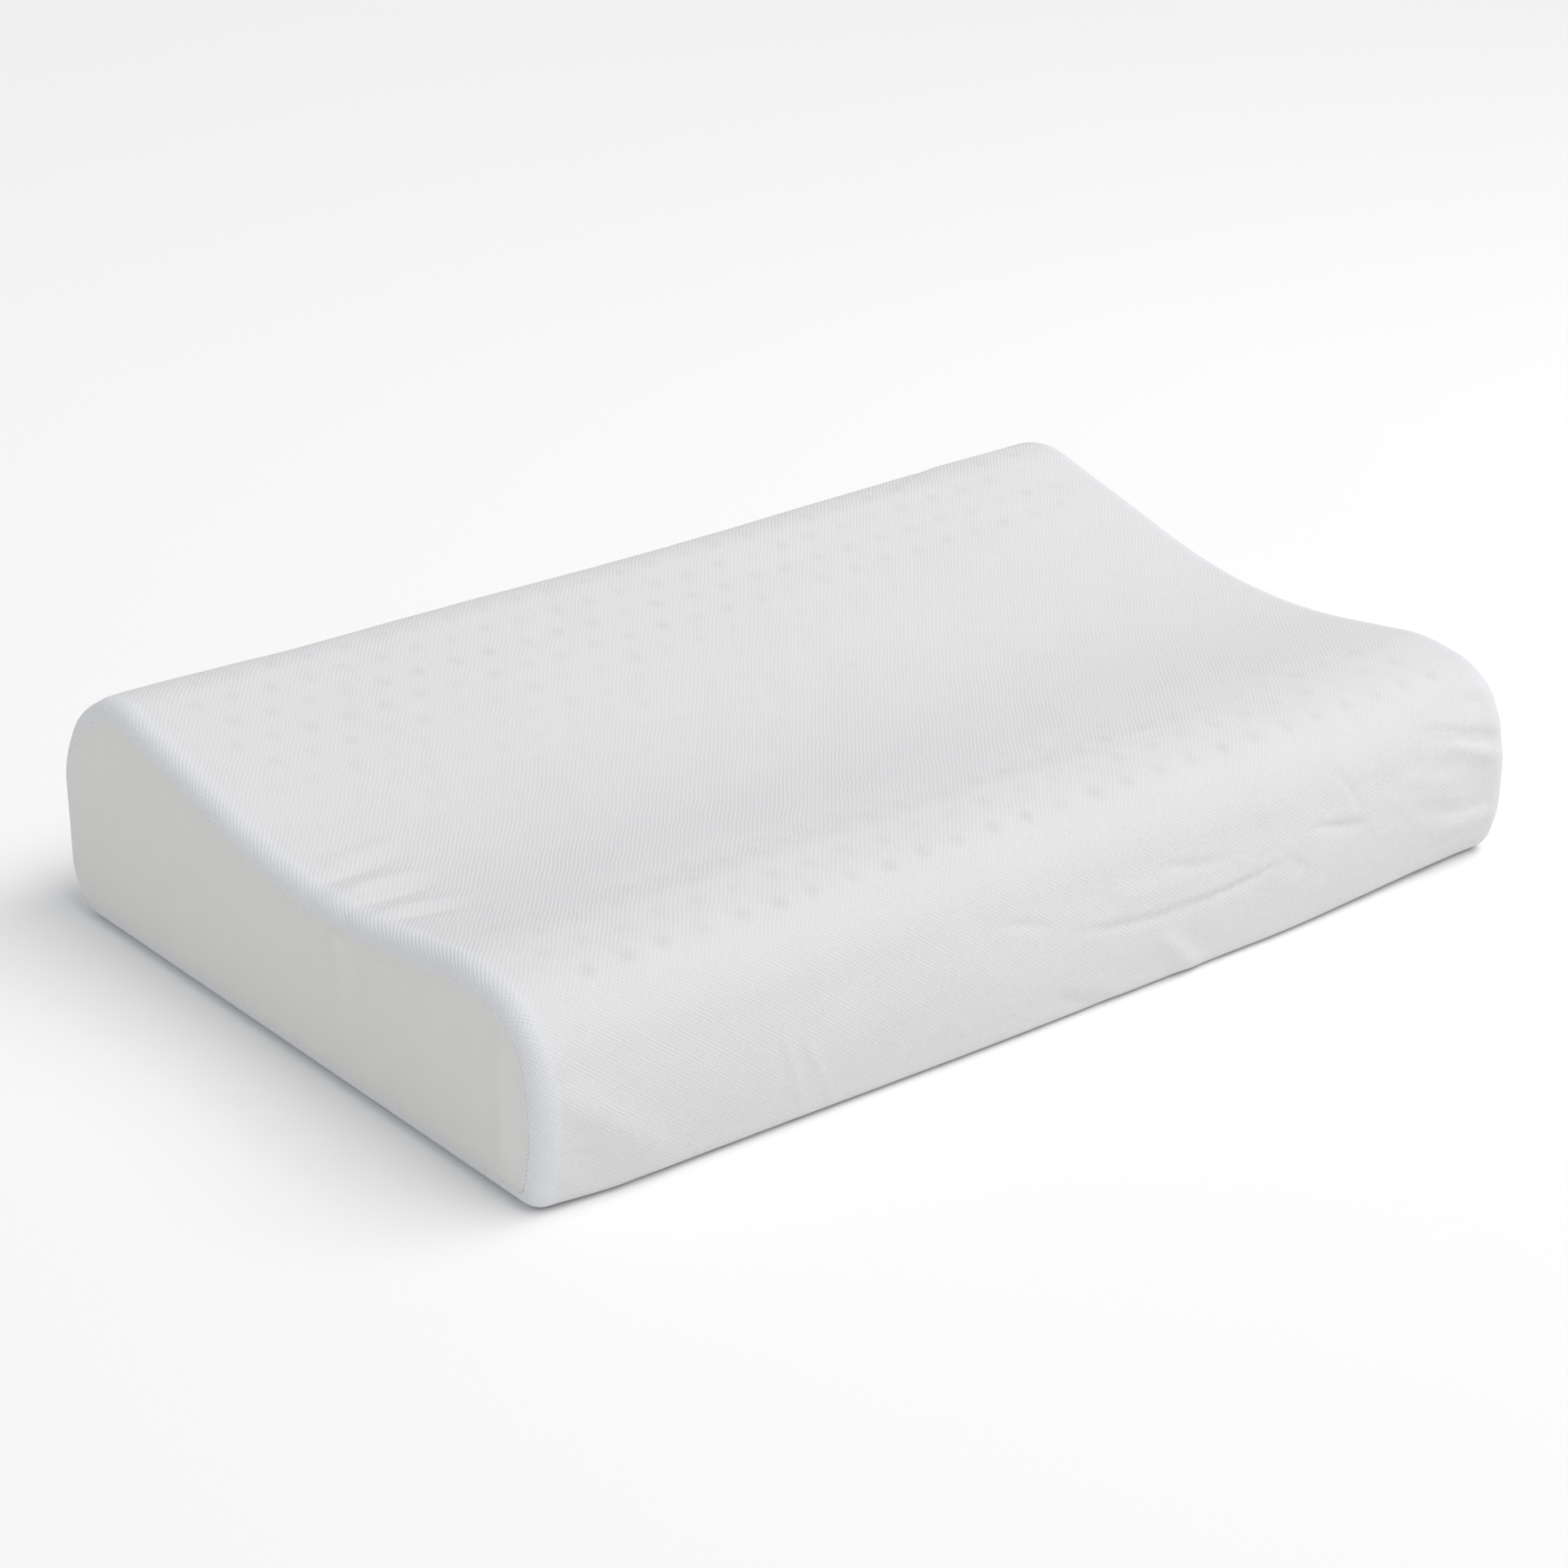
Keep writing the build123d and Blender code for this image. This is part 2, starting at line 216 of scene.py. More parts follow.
def add_wall(piece, thickness):
    """Gives a cloth surface its thickness, inwards from the surface that was drawn."""
    wall = piece.modifiers.new("wall", "SOLIDIFY")
    wall.thickness = thickness
    wall.offset = -1
    wall.use_rim = True


def smooth_step(t):
    """0 below 0, 1 above 1, and a smooth S between."""
    t = np.clip(t, 0, 1)
    return t * t * (3 - 2 * t)


def smooth_noise(a, b, wavelength, seed, waves=14):
    """Sum of plane waves of random direction and phase, near one wavelength, scaled to about -1..1."""
    random = np.random.default_rng(seed)
    total = np.zeros(np.broadcast(a, b).shape)
    for _ in range(waves):
        turn, phase = random.uniform(0, 2 * pi, 2)
        k = 2 * pi / (wavelength * random.uniform(0.7, 1.5))
        total += np.cos(k * (a * cos(turn) + b * sin(turn)) + phase)
    return total / np.sqrt(waves)


# %% [markdown]
# ## Materials
#
# The helpers keep each node tree short. `put` adds one node, sets its inputs by number or name, and
# links those that are another node's output.

# %% Node helpers


def put(tree, kind, inputs, **settings):
    """Adds a node with the given settings and returns it; an input is a value or an output to link."""
    node = tree.nodes.new(kind)
    for key, value in settings.items():
        setattr(node, key, value)
    for key, value in inputs.items():
        if isinstance(value, bpy.types.NodeSocket):
            tree.links.new(value, node.inputs[key])
        else:
            node.inputs[key].default_value = value
    return node


def new_material(name, colour, roughness, **sockets):
    """Principled material with plain values on its own sockets; returns it, its tree and its shader."""
    material = bpy.data.materials.new(name)
    material.use_nodes = True
    tree = material.node_tree
    shader = tree.nodes["Principled BSDF"]
    shader.inputs["Base Color"].default_value = (*colour, 1)
    shader.inputs["Roughness"].default_value = roughness
    for key, value in sockets.items():
        shader.inputs[key.replace("_", " ")].default_value = value
    return material, tree, shader


def maths(tree, operation, a, b=0.0):
    """Output of one Math node."""
    return put(tree, "ShaderNodeMath", {0: a, 1: b}, operation=operation).outputs[0]


def multiply_add(tree, value, factor, offset):
    """Output of value * factor + offset."""
    inputs = {0: value, 1: factor, 2: offset}
    return put(tree, "ShaderNodeMath", inputs, operation="MULTIPLY_ADD").outputs[0]


def towards_colour(tree, factor, colour_output, other):
    """Colour that goes from another node's colour to a fixed one as factor goes from 0 to 1."""
    inputs = {"Factor": factor, 6: colour_output, 7: (*other, 1)}
    return put(tree, "ShaderNodeMix", inputs, data_type="RGBA").outputs[2]


def tint(tree, factor, low, high):
    """Colour between low and high as factor goes from 0 to 1."""
    inputs = {"Factor": factor, 6: (*low, 1), 7: (*high, 1)}
    return put(tree, "ShaderNodeMix", inputs, data_type="RGBA").outputs[2]


def bump(tree, shader, height, strength, distance):
    """Fine relief from a height, on top of the real shape."""
    inputs = {"Height": height, "Strength": strength, "Distance": distance}
    tree.links.new(put(tree, "ShaderNodeBump", inputs).outputs[0], shader.inputs["Normal"])


def noise(tree, place, scale, detail=2.0, roughness=0.5):
    """Output of a Noise Texture, 0 to 1."""
    inputs = {"Vector": place, "Scale": scale, "Detail": detail, "Roughness": roughness}
    return put(tree, "ShaderNodeTexNoise", inputs).outputs[0]


def ribs(tree, place, across, pitch, wobble):
    """Sine wave, -1 to 1, that repeats every pitch along the direction across, with a noisy phase."""
    dot = put(tree, "ShaderNodeVectorMath", {0: place, 1: (*across, 0)}, operation="DOT_PRODUCT")
    phase = maths(tree, "MULTIPLY", dot.outputs["Value"], 2 * pi / pitch)
    return maths(tree, "SINE", maths(tree, "ADD", phase, wobble))


# %% [markdown]
# ## Jersey
#
# The cover is a fine white interlock jersey. Seen close, its loops stand in slanting ribs a little
# under 2 mm apart, crossed by a weaker set. The ribs could be drawn with a picture, but a sine wave
# along the cloth's own coordinates stays sharp at any distance. A little noise in its phase makes the
# ribs wander as knitted ones do. Between the ribs the colour is painted darker, as their shade. Over
# the rolled edge at each end a band is tinted a little bluer. The spots over the foam's holes are
# painted shade, from a value stored on each point of the cloth, which darkens it by a few hundredths.

# %% Jersey material
RIB_PITCH = 1.9 * MM
END_BAND = 289.0 * MM  # from the middle to where the bluer band begins
BAND_FADE = 4.0 * MM
# grey towards which the painted shade of the spots goes
SPOT_SHADE_COLOUR = (0.30, 0.30, 0.31)
RIB_ACROSS = (0.78, -0.63)
CROSS_ACROSS = (0.63, 0.78)


def jersey(name, colour, rib_shade_and_patches, rib_depth, end_band_tint):
    """Knitted cotton: slanting ribs with painted shade between them, fuzz, sheen, a bluer end band, spots.

    The first colour is the tops of the ribs, the second the painted shade between them and the tone of
    the faint patches, and the third the colour of the band past END_BAND."""
    material, tree, shader = new_material(
        name, colour, 0.88, Specular_IOR_Level=0.22, Sheen_Weight=0.12, Sheen_Roughness=0.45
    )
    place = put(tree, "ShaderNodeUVMap", {}, uv_map="cloth").outputs[0]
    drift = noise(tree, place, 45.0, 2.0)
    wobble = maths(tree, "MULTIPLY", drift, 9.0)
    main_rib = ribs(tree, place, RIB_ACROSS, RIB_PITCH, wobble)
    cross_rib = ribs(tree, place, CROSS_ACROSS, RIB_PITCH * 0.82, wobble)
    loops = ribs(tree, place, CROSS_ACROSS, RIB_PITCH * 0.45, wobble)
    fuzz = noise(tree, place, 2600.0, 2.0, 0.6)
    patchy = noise(tree, place, 28.0, 3.0, 0.55)
    weight = multiply_add(tree, patchy, 1.1, 0.1)
    relief = maths(tree, "MULTIPLY", main_rib, weight)
    relief = maths(tree, "ADD", relief, maths(tree, "MULTIPLY", cross_rib, 0.42))
    relief = maths(tree, "ADD", relief, maths(tree, "MULTIPLY", loops, 0.35))
    relief = maths(tree, "ADD", relief, maths(tree, "MULTIPLY", fuzz, 1.5))
    bump(tree, shader, relief, rib_depth, 0.16 * MM)
    # colour: painted shade between the ribs, faint patches of tone, then the spots' painted shade
    valley = multiply_add(tree, relief, -0.14, 0.22)
    base = tint(tree, valley, colour, rib_shade_and_patches)
    clouds = maths(tree, "MULTIPLY", noise(tree, place, 9.0, 3.0), 0.35)
    clouded = towards_colour(tree, clouds, base, rib_shade_and_patches)
    object_place = put(tree, "ShaderNodeTexCoord", {}).outputs["Object"]
    from_middle = maths(tree, "ABSOLUTE", put(tree, "ShaderNodeSeparateXYZ", {0: object_place}).outputs[0])
    from_middle = maths(tree, "ADD", from_middle, maths(tree, "MULTIPLY", drift, 3.0 * MM))
    # band over the rolled edge at each end, tinted a little bluer
    band = put(
        tree, "ShaderNodeMapRange", {0: from_middle, 1: END_BAND, 2: END_BAND + BAND_FADE, 3: 0.0, 4: 0.8}
    )
    banded = towards_colour(tree, band.outputs[0], clouded, end_band_tint)
    # painted shade of the holes showing through the cloth, stored on each point as pin_shade
    spots = put(tree, "ShaderNodeAttribute", {}, attribute_name="pin_shade").outputs["Fac"]
    tree.links.new(towards_colour(tree, spots, banded, SPOT_SHADE_COLOUR), shader.inputs["Base Color"])
    return material


WRAP_JERSEY = jersey(
    "white_jersey", (0.772, 0.766, 0.778), (0.690, 0.690, 0.710), 0.75, (0.772, 0.787, 0.815)
)
# The end panels get a darker, warmer copy of the same jersey: painted shade on the ends.
SHADED_END_JERSEY = jersey(
    "end_jersey", (0.738, 0.733, 0.714), (0.677, 0.672, 0.654), 0.25, (0.738, 0.733, 0.714)
)
print("jersey ribs every", RIB_PITCH / MM, "mm")

# %% [markdown]
# ## Thread, tape, nylon, metal, label and latex
#
# The small parts sit behind and under the pillow, but each still has its own finish: twisted polyester
# thread, herringbone tape, slightly glossy nylon, painted die-cast metal, a satin label, and foam with
# the fine open pores of latex.

# %% Small materials


def twisted_thread():
    """White polyester sewing thread with its twist as fine slanting lines of relief and painted shade."""
    material, tree, shader = new_material("sewing_thread", (0.78, 0.78, 0.78), 0.6, Sheen_Weight=0.25)
    place = put(tree, "ShaderNodeTexCoord", {}).outputs["Object"]
    strands = put(
        tree,
        "ShaderNodeTexWave",
        {"Vector": place, "Scale": 900.0, "Distortion": 2.0, "Detail": 1.0},
        bands_direction="DIAGONAL",
    ).outputs[1]
    # the colour follows the twist: painted shade in its grooves
    tree.links.new(
        tint(tree, strands, (0.77, 0.77, 0.78), (0.88, 0.88, 0.87)), shader.inputs["Base Color"]
    )
    bump(tree, shader, strands, 0.5, 0.05 * MM)
    return material


def herringbone_tape():
    """Woven polyester tape: ribs that slant one way, then the other, every few millimetres."""
    material, tree, shader = new_material("woven_tape", (0.74, 0.74, 0.75), 0.72, Sheen_Weight=0.15)
    place = put(tree, "ShaderNodeUVMap", {}, uv_map="cloth").outputs[0]
    across = put(tree, "ShaderNodeSeparateXYZ", {0: place}).outputs[1]
    zigzag = maths(tree, "PINGPONG", across, 1.5 * MM)
    along = put(tree, "ShaderNodeSeparateXYZ", {0: place}).outputs[0]
    phase = maths(tree, "MULTIPLY", maths(tree, "ADD", along, zigzag), 2 * pi / (0.7 * MM))
    weave = maths(tree, "SINE", phase)
    fuzz = noise(tree, place, 3000.0, 2.0)
    relief = maths(tree, "ADD", weave, fuzz)
    shade = multiply_add(tree, weave, 0.3, 0.5)
    tree.links.new(tint(tree, shade, (0.66, 0.66, 0.68), (0.78, 0.78, 0.78)), shader.inputs["Base Color"])
    bump(tree, shader, relief, 0.6, 0.08 * MM)
    return material


def nylon():
    """Milky monofilament: slightly clear, with faint drawing lines."""
    material, tree, shader = new_material(
        "nylon_filament", (0.80, 0.80, 0.79), 0.34, Subsurface_Weight=0.15, Subsurface_Scale=0.0006
    )
    place = put(tree, "ShaderNodeTexCoord", {}).outputs["Object"]
    grain = noise(tree, place, 1500.0, 2.0)
    tree.links.new(tint(tree, grain, (0.74, 0.74, 0.735), (0.84, 0.84, 0.83)), shader.inputs["Base Color"])
    bump(tree, shader, grain, 0.15, 0.03 * MM)
    return material


def painted_metal():
    """White-painted die-cast zinc: orange-peel gloss, rubbed a little where hands touch it."""
    material, tree, shader = new_material("painted_zinc", (0.73, 0.73, 0.74), 0.33, Coat_Weight=0.3)
    place = put(tree, "ShaderNodeTexCoord", {}).outputs["Object"]
    peel = noise(tree, place, 900.0, 2.0)
    rubbed = noise(tree, place, 260.0, 4.0, 0.65)
    wear = put(tree, "ShaderNodeMapRange", {0: rubbed, 1: 0.60, 2: 0.72, 3: 0.0, 4: 1.0}).outputs[0]
    tree.links.new(tint(tree, wear, (0.73, 0.73, 0.74), (0.52, 0.52, 0.53)), shader.inputs["Base Color"])
    gloss = put(tree, "ShaderNodeMapRange", {0: peel, 1: 0.3, 2: 0.7, 3: 0.26, 4: 0.42}).outputs[0]
    tree.links.new(gloss, shader.inputs["Roughness"])
    bump(tree, shader, peel, 0.2, 0.05 * MM)
    return material


def satin():
    """Woven satin ribbon: very fine ribs along its length."""
    material, tree, shader = new_material("satin_label", (0.80, 0.80, 0.79), 0.38, Sheen_Weight=0.3)
    place = put(tree, "ShaderNodeUVMap", {}, uv_map="cloth").outputs[0]
    drift = noise(tree, place, 200.0, 2.0)
    warp = ribs(tree, place, (1.0, 0.0), 0.28 * MM, drift)
    weft = ribs(tree, place, (0.0, 1.0), 0.55 * MM, drift)
    relief = maths(tree, "ADD", warp, maths(tree, "MULTIPLY", weft, 0.4))
    shade = multiply_add(tree, relief, 0.25, 0.5)
    tree.links.new(tint(tree, shade, (0.74, 0.74, 0.74), (0.84, 0.84, 0.82)), shader.inputs["Base Color"])
    bump(tree, shader, relief, 0.4, 0.04 * MM)
    return material


def latex():
    """Cream latex foam with open pores of two sizes."""
    material, tree, shader = new_material(
        "latex_foam", (0.80, 0.76, 0.64), 0.8, Subsurface_Weight=0.2, Subsurface_Scale=0.004
    )
    place = put(tree, "ShaderNodeTexCoord", {}).outputs["Object"]
    pores = put(tree, "ShaderNodeTexVoronoi", {"Vector": place, "Scale": 900.0}).outputs[0]
    soft = noise(tree, place, 60.0, 4.0)
    tree.links.new(tint(tree, soft, (0.76, 0.71, 0.58), (0.84, 0.80, 0.69)), shader.inputs["Base Color"])
    bump(tree, shader, maths(tree, "ADD", pores, soft), 0.5, 0.3 * MM)
    return material


THREAD = twisted_thread()
TAPE = herringbone_tape()
NYLON = nylon()
METAL = painted_metal()
SATIN = satin()
LATEX = latex()
print("materials:", len(bpy.data.materials))

# %% [markdown]
# ## The section that is carried along the pillow
#
# The cover's section is the foam's: ten corners, each rounded by its own arc. On the real pillow the
# section isn't the same all along. The weight of the foam makes the front foot squarer and pushes it
# out in the middle of the length, the high lobe sinks a little there, and the hollow is deeper at the
# ends. So the corners are functions of x, and so is the whole outline.

# %% Section
CORNERS = MM * np.array([
    (-192.0, 0.0),  # lower front edge
    (-203.0, 37.0),  # bulge of the front face
    (-192.0, 96.5),  # front shoulder
    (-141.5, 104.0),  # crest of the low lobe
    (-21.0, 88.0),  # hollow for the head
    (152.0, 131.5),  # crest of the high lobe, at the ends
    (188.0, 108.0),  # rear shoulder
    (204.0, 80.0),  # top of the upright rear wall
    (204.0, 20.0),  # foot of the upright rear wall
    (192.0, 0.0),  # lower rear edge
])
ROUNDING = MM * np.array([14.0, 105.0, 40.0, 98.0, 330.0, 46.0, 45.0, 55.0, 30.0, 14.0])
FOOT, BULGE, CREST_LOW, HOLLOW, CREST_HIGH = 0, 1, 3, 4, 5
FOOT_OUT = 6.0 * MM
FOOT_SHARPER = 7.0 * MM
CREST_SINK = 5.6 * MM
HOLLOW_AT_ENDS = 2.4 * MM
REAR_WALL = 204.0 * MM
ZIP_HEIGHT = sum((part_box("zip_slider")[0].z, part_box("zip_slider")[1].z)) / 2
ARC_STEPS = 64


def corners_along(x):
    """Corners and radii at each station x, with the soft foam's sag and bulge worked in."""
    corners = np.repeat(CORNERS[None], len(x), 0)
    radii = np.repeat(ROUNDING[None], len(x), 0)
    foot = 0.62 * smooth_step((x + 0.302) / 0.05) + 0.38 * smooth_step((x + 0.28) / 0.26)
    foot = foot * smooth_step((0.29 - x) / 0.16)
    corners[:, FOOT, 0] -= FOOT_OUT * foot
    corners[:, BULGE, 0] -= 0.3 * FOOT_OUT * foot
    radii[:, FOOT] -= FOOT_SHARPER * foot
    reach = np.where(x < 0.02, 0.48, 0.28)
    corners[:, CREST_HIGH, 1] -= CREST_SINK * np.cos(0.5 * pi * np.clip((x - 0.02) / reach, -1, 1)) ** 2
    corners[:, HOLLOW, 1] -= HOLLOW_AT_ENDS * smooth_step((np.abs(x) - 0.17) / 0.13)
    return corners, radii


def outlines(x):
    """Rounded outline at each station, from the zip's centre line clockwise right round to it again.

    Each corner's arc touches its two sides at radius / tan(half the corner's angle) from the corner, and
    its centre lies on the bisector. Points between two arcs are left to straight interpolation."""
    corners, radii = corners_along(x)
    before, after = np.roll(corners, 1, 1), np.roll(corners, -1, 1)
    one = before - corners
    two = after - corners
    one /= np.linalg.norm(one, axis=2, keepdims=True)
    two /= np.linalg.norm(two, axis=2, keepdims=True)
    half_angle = np.arccos(np.sum(one * two, 2)) / 2
    bisector = one + two
    bisector /= np.linalg.norm(bisector, axis=2, keepdims=True)
    centre = corners + bisector * (radii / np.sin(half_angle))[..., None]
    start = corners + one * (radii / np.tan(half_angle))[..., None] - centre
    end = corners + two * (radii / np.tan(half_angle))[..., None] - centre
    angle = np.arctan2(start[..., 1], start[..., 0])
    turn = np.arctan2(end[..., 1], end[..., 0]) - angle
    turn = (turn + pi) % (2 * pi) - pi
    swept = angle[..., None] + turn[..., None] * np.linspace(0, 1, ARC_STEPS)
    arcs = centre[:, :, None] + radii[..., None, None] * np.stack([np.cos(swept), np.sin(swept)], -1)
    arcs = np.roll(arcs, 2, 1).reshape(len(x), -1, 2)  # the arc below the zip comes first
    zip_line = np.broadcast_to([[REAR_WALL, ZIP_HEIGHT]], (len(x), 1, 2))
    return np.concatenate([zip_line, arcs, zip_line], 1)


def along_outline(x, share):
    """Point and outward normal on the outline of each station x at each share (0 to 1) of its length."""
    outline = outlines(x)
    step = np.linalg.norm(np.diff(outline, axis=1), axis=2)
    travelled = np.concatenate([np.zeros((len(x), 1)), np.cumsum(step, 1)], 1)
    travelled /= travelled[:, -1:]
    station = np.arange(len(x))[:, None]
    share = np.broadcast_to(share, (len(x), np.shape(share)[-1]))

    def sample(t):
        key, wanted = (travelled + 2 * station).ravel(), np.clip(t, 0, 1) + 2 * station
        return np.stack([np.interp(wanted, key, outline[..., k].ravel()) for k in (0, 1)], -1)

    point = sample(share)
    ahead = sample(share + 0.0012) - sample(share - 0.0012)
    ahead /= np.linalg.norm(ahead, axis=2, keepdims=True)
    return point, np.stack([-ahead[..., 1], ahead[..., 0]], -1)


MIDDLE = outlines(np.array([0.0]))[0]
ROUND = float(np.linalg.norm(np.diff(MIDDLE, axis=0), axis=1).sum())
end_outline = outlines(np.array([-HALF]))[0]
FOOT_ARC = float(np.linalg.norm(np.diff(end_outline[: 1 + 2 * ARC_STEPS + 1], axis=0), axis=1).sum())
print("once round the cover:", round(ROUND, 4), "m; zip to front foot:", round(FOOT_ARC, 4), "m")

# %% [markdown]
# ## Folds
#
# The cover is cut slightly large, so it creases: pulls fan out from the left seam in the hollow, one
# long crease crosses the front face, short ones crowd the right end, and a slack line lies behind the
# low lobe. A cloth simulation would make creases, but not these ones. Each is drawn instead as a bell
# or a lip across a bent line, given by three points (x, s) on the flat cloth, where s runs up the front
# face from its foot. The line fades out at both tips.

# %% Creases


def crease(x, s, points, width, height, lip=0.0, tips=(0.25, 0.25)):
    """Height over the cloth of one crease along the quadratic curve through three control points.

    Across the curve it is height * exp(-q^2) plus lip * 1.6 q exp(-q^2), with q the signed distance over
    width; along it, it fades in and out over the shares in tips."""
    a, b, c = (np.array(p) * MM for p in points)
    t = np.linspace(0, 1, 33)[:, None]
    line = (1 - t) ** 2 * a + 2 * t * (1 - t) * b + t * t * c
    ahead = 2 * (1 - t) * (b - a) + 2 * t * (c - b)
    ahead /= np.linalg.norm(ahead, axis=1, keepdims=True)
    reach = 3 * width * MM
    low, high = line.min(0) - reach, line.max(0) + reach
    near = np.nonzero((x > low[0]) & (x < high[0]) & (s > low[1]) & (s < high[1]))
    gap = np.stack([x[near], s[near]], -1)[:, None] - line[None]
    distance = np.linalg.norm(gap, axis=2)
    nearest = distance.argmin(1)
    pick = np.arange(len(nearest)), nearest
    side = ahead[nearest, 0] * gap[pick][:, 1] - ahead[nearest, 1] * gap[pick][:, 0]
    q = np.sign(side) * distance[pick] / (width * MM)
    share = nearest / 32
    fade = smooth_step(share / max(tips[0], 1e-3)) * smooth_step((1 - share) / max(tips[1], 1e-3))
    raised = np.zeros_like(x)
    raised[near] = MM * fade * np.exp(-q * q) * (height + 1.6 * lip * q)
    return raised


# ((x, s) at the start, middle and end, in mm), width, height, lip, (fade in, fade out)
FOLDS = [
    # pulls from the left seam in the hollow
    (((-304, 258), (-274, 262), (-232, 254)), 7.0, 2.5, 0.0, (0.0, 0.55)),
    (((-304, 231), (-276, 230), (-240, 215)), 5.5, 2.1, 0.0, (0.0, 0.5)),
    (((-302, 273), (-274, 276), (-240, 274)), 4.2, -1.4, 0.0, (0.0, 0.5)),
    (((-302, 244), (-276, 245), (-246, 238)), 3.6, -1.4, 0.0, (0.0, 0.5)),
    (((-290, 220), (-270, 216), (-240, 198)), 3.6, -1.2, 0.0, (0.1, 0.5)),
    (((-284, 288), (-262, 287), (-225, 294)), 6.0, 1.1, 0.0, (0.2, 0.5)),
    # slack line behind the low lobe, in the long shallow trough there
    (((-270, 170), (0, 166), (240, 160)), 12.0, -1.0, -0.35, (0.2, 0.25)),
    (((40, 160), (82, 157), (122, 143)), 3.6, -0.5, 0.5, (0.4, 0.35)),
    (((86, 148), (108, 146), (136, 137)), 6.0, 0.55, 0.0, (0.35, 0.4)),
    (((-60, 164), (30, 161), (110, 158)), 9.0, -0.35, 0.0, (0.4, 0.4)),
    (((118, 158), (170, 152), (236, 157)), 11.0, -0.7, 0.0, (0.3, 0.3)),
    # long crease across the front face
    (((-6, 66), (60, 47), (160, 63)), 3.4, -0.9, 0.95, (0.3, 0.3)),
    (((-44, 80), (-26, 75), (-8, 69)), 3.0, -0.5, 0.45, (0.35, 0.35)),
    (((20, 72), (48, 66), (76, 70)), 6.5, 0.8, 0.0, (0.35, 0.35)),
    (((56, 80), (78, 72), (104, 72)), 3.2, -0.7, 0.6, (0.3, 0.35)),
    (((152, 72), (176, 66), (200, 60)), 3.2, -0.7, 0.9, (0.3, 0.3)),
    (((170, 93), (187, 82), (189, 62)), 2.6, -0.4, -0.6, (0.3, 0.3)),
    (((142, 58), (152, 54), (154, 46)), 3.0, -0.3, 0.4, (0.3, 0.3)),
    # low folds under the long crease
    (((50, 46), (74, 30), (98, -4)), 4.6, 1.7, 0.0, (0.25, 0.2)),
    (((66, 46), (90, 28), (114, -2)), 6.5, -0.5, 0.0, (0.3, 0.2)),
    (((-16, 36), (14, 24), (44, 10)), 4.0, -0.8, 0.9, (0.3, 0.3)),
    (((2, 36), (30, 26), (54, 14)), 5.0, 0.5, 0.0, (0.3, 0.3)),
    # upright creases on the left of the front face
    (((-173, 72), (-166, 44), (-153, 6)), 2.3, 0.55, 0.0, (0.35, 0.3)),
    (((-163, 64), (-152, 46), (-136, 8)), 2.3, 0.5, 0.0, (0.35, 0.3)),
    (((-136, 60), (-128, 40), (-118, 14)), 4.0, 0.2, 0.0, (0.4, 0.4)),
    (((-80, 46), (-66, 32), (-50, 20)), 4.0, 0.28, 0.0, (0.4, 0.4)),
    # slanting fold at the left end of the front face
    (((-298, 72), (-256, 52), (-222, 10)), 9.0, 1.5, 0.0, (0.15, 0.3)),
    (((-296, 46), (-274, 34), (-254, 12)), 10.0, -0.8, 0.0, (0.1, 0.3)),
    (((-290, 40), (-276, 37), (-264, 38)), 3.5, -0.5, 0.4, (0.3, 0.4)),
    # folds crowding the right end
    (((232, 96), (266, 86), (304, 72)), 4.6, -1.3, 1.3, (0.35, 0.0)),
    (((246, 84), (272, 76), (304, 62)), 5.0, 1.7, 0.0, (0.35, 0.0)),
    (((272, 100), (286, 97), (304, 91)), 3.2, -1.4, 0.7, (0.35, 0.0)),
    (((262, 108), (284, 106), (304, 100)), 5.0, 1.1, 0.0, (0.4, 0.0)),
    (((222, 62), (256, 44), (290, 46)), 4.4, -1.1, 0.8, (0.35, 0.1)),
    (((262, 54), (280, 50), (304, 50)), 6.0, -1.4, 0.0, (0.3, 0.0)),
    (((236, 44), (268, 30), (304, 34)), 7.0, 1.5, 0.0, (0.35, 0.0)),
    (((214, 74), (240, 68), (262, 60)), 4.0, 0.6, 0.0, (0.35, 0.35)),
    (((252, 20), (276, 18), (304, 14)), 4.5, -0.9, 0.6, (0.4, 0.0)),
    # soft line down the high lobe's slope to the right seam, and faint creases on the high lobe
    (((304, 262), (278, 300), (224, 388)), 8.0, 0.0, 0.5, (0.05, 0.4)),
    (((200, 470), (244, 452), (292, 446)), 5.0, 0.5, 0.4, (0.4, 0.2)),
    (((150, 440), (196, 452), (250, 486)), 5.0, -0.4, 0.3, (0.4, 0.4)),
    # rear wall and under the zip's ends
    (((-304, 560), (-262, 548), (-210, 540)), 7.0, 1.0, 0.5, (0.0, 0.5)),
    (((-304, 530), (-276, 524), (-240, 520)), 6.0, 0.8, 0.0, (0.0, 0.5)),
    (((304, 556), (270, 548), (220, 546)), 7.0, 1.0, -0.5, (0.0, 0.5)),
    (((304, 520), (282, 516), (246, 512)), 6.0, 0.7, 0.0, (0.0, 0.5)),
    (((-120, 560), (-60, 546), (10, 552)), 8.0, 0.7, 0.3, (0.4, 0.4)),
    (((60, 548), (120, 556), (180, 550)), 7.0, 0.6, -0.3, (0.4, 0.4)),
]


def cloth_height(x, s):
    """Sum of all folds and of the slow unevenness of the cloth over x and s, in metres."""
    height = sum(crease(x, s, *fold) for fold in FOLDS)
    height += 0.35 * MM * (0.6 + smooth_noise(x, s, 0.150, 3))
    height += 0.10 * MM * smooth_noise(x, s, 0.045, 5)
    crumpled = smooth_step((x - 0.04) / 0.12)
    crumpled = crumpled * smooth_step((s - 0.02) / 0.03) * smooth_step((0.10 - s) / 0.03)
    height += 0.16 * MM * crumpled * smooth_noise(x, 1.7 * s, 0.024, 8)
    return height


print("folds:", len(FOLDS))
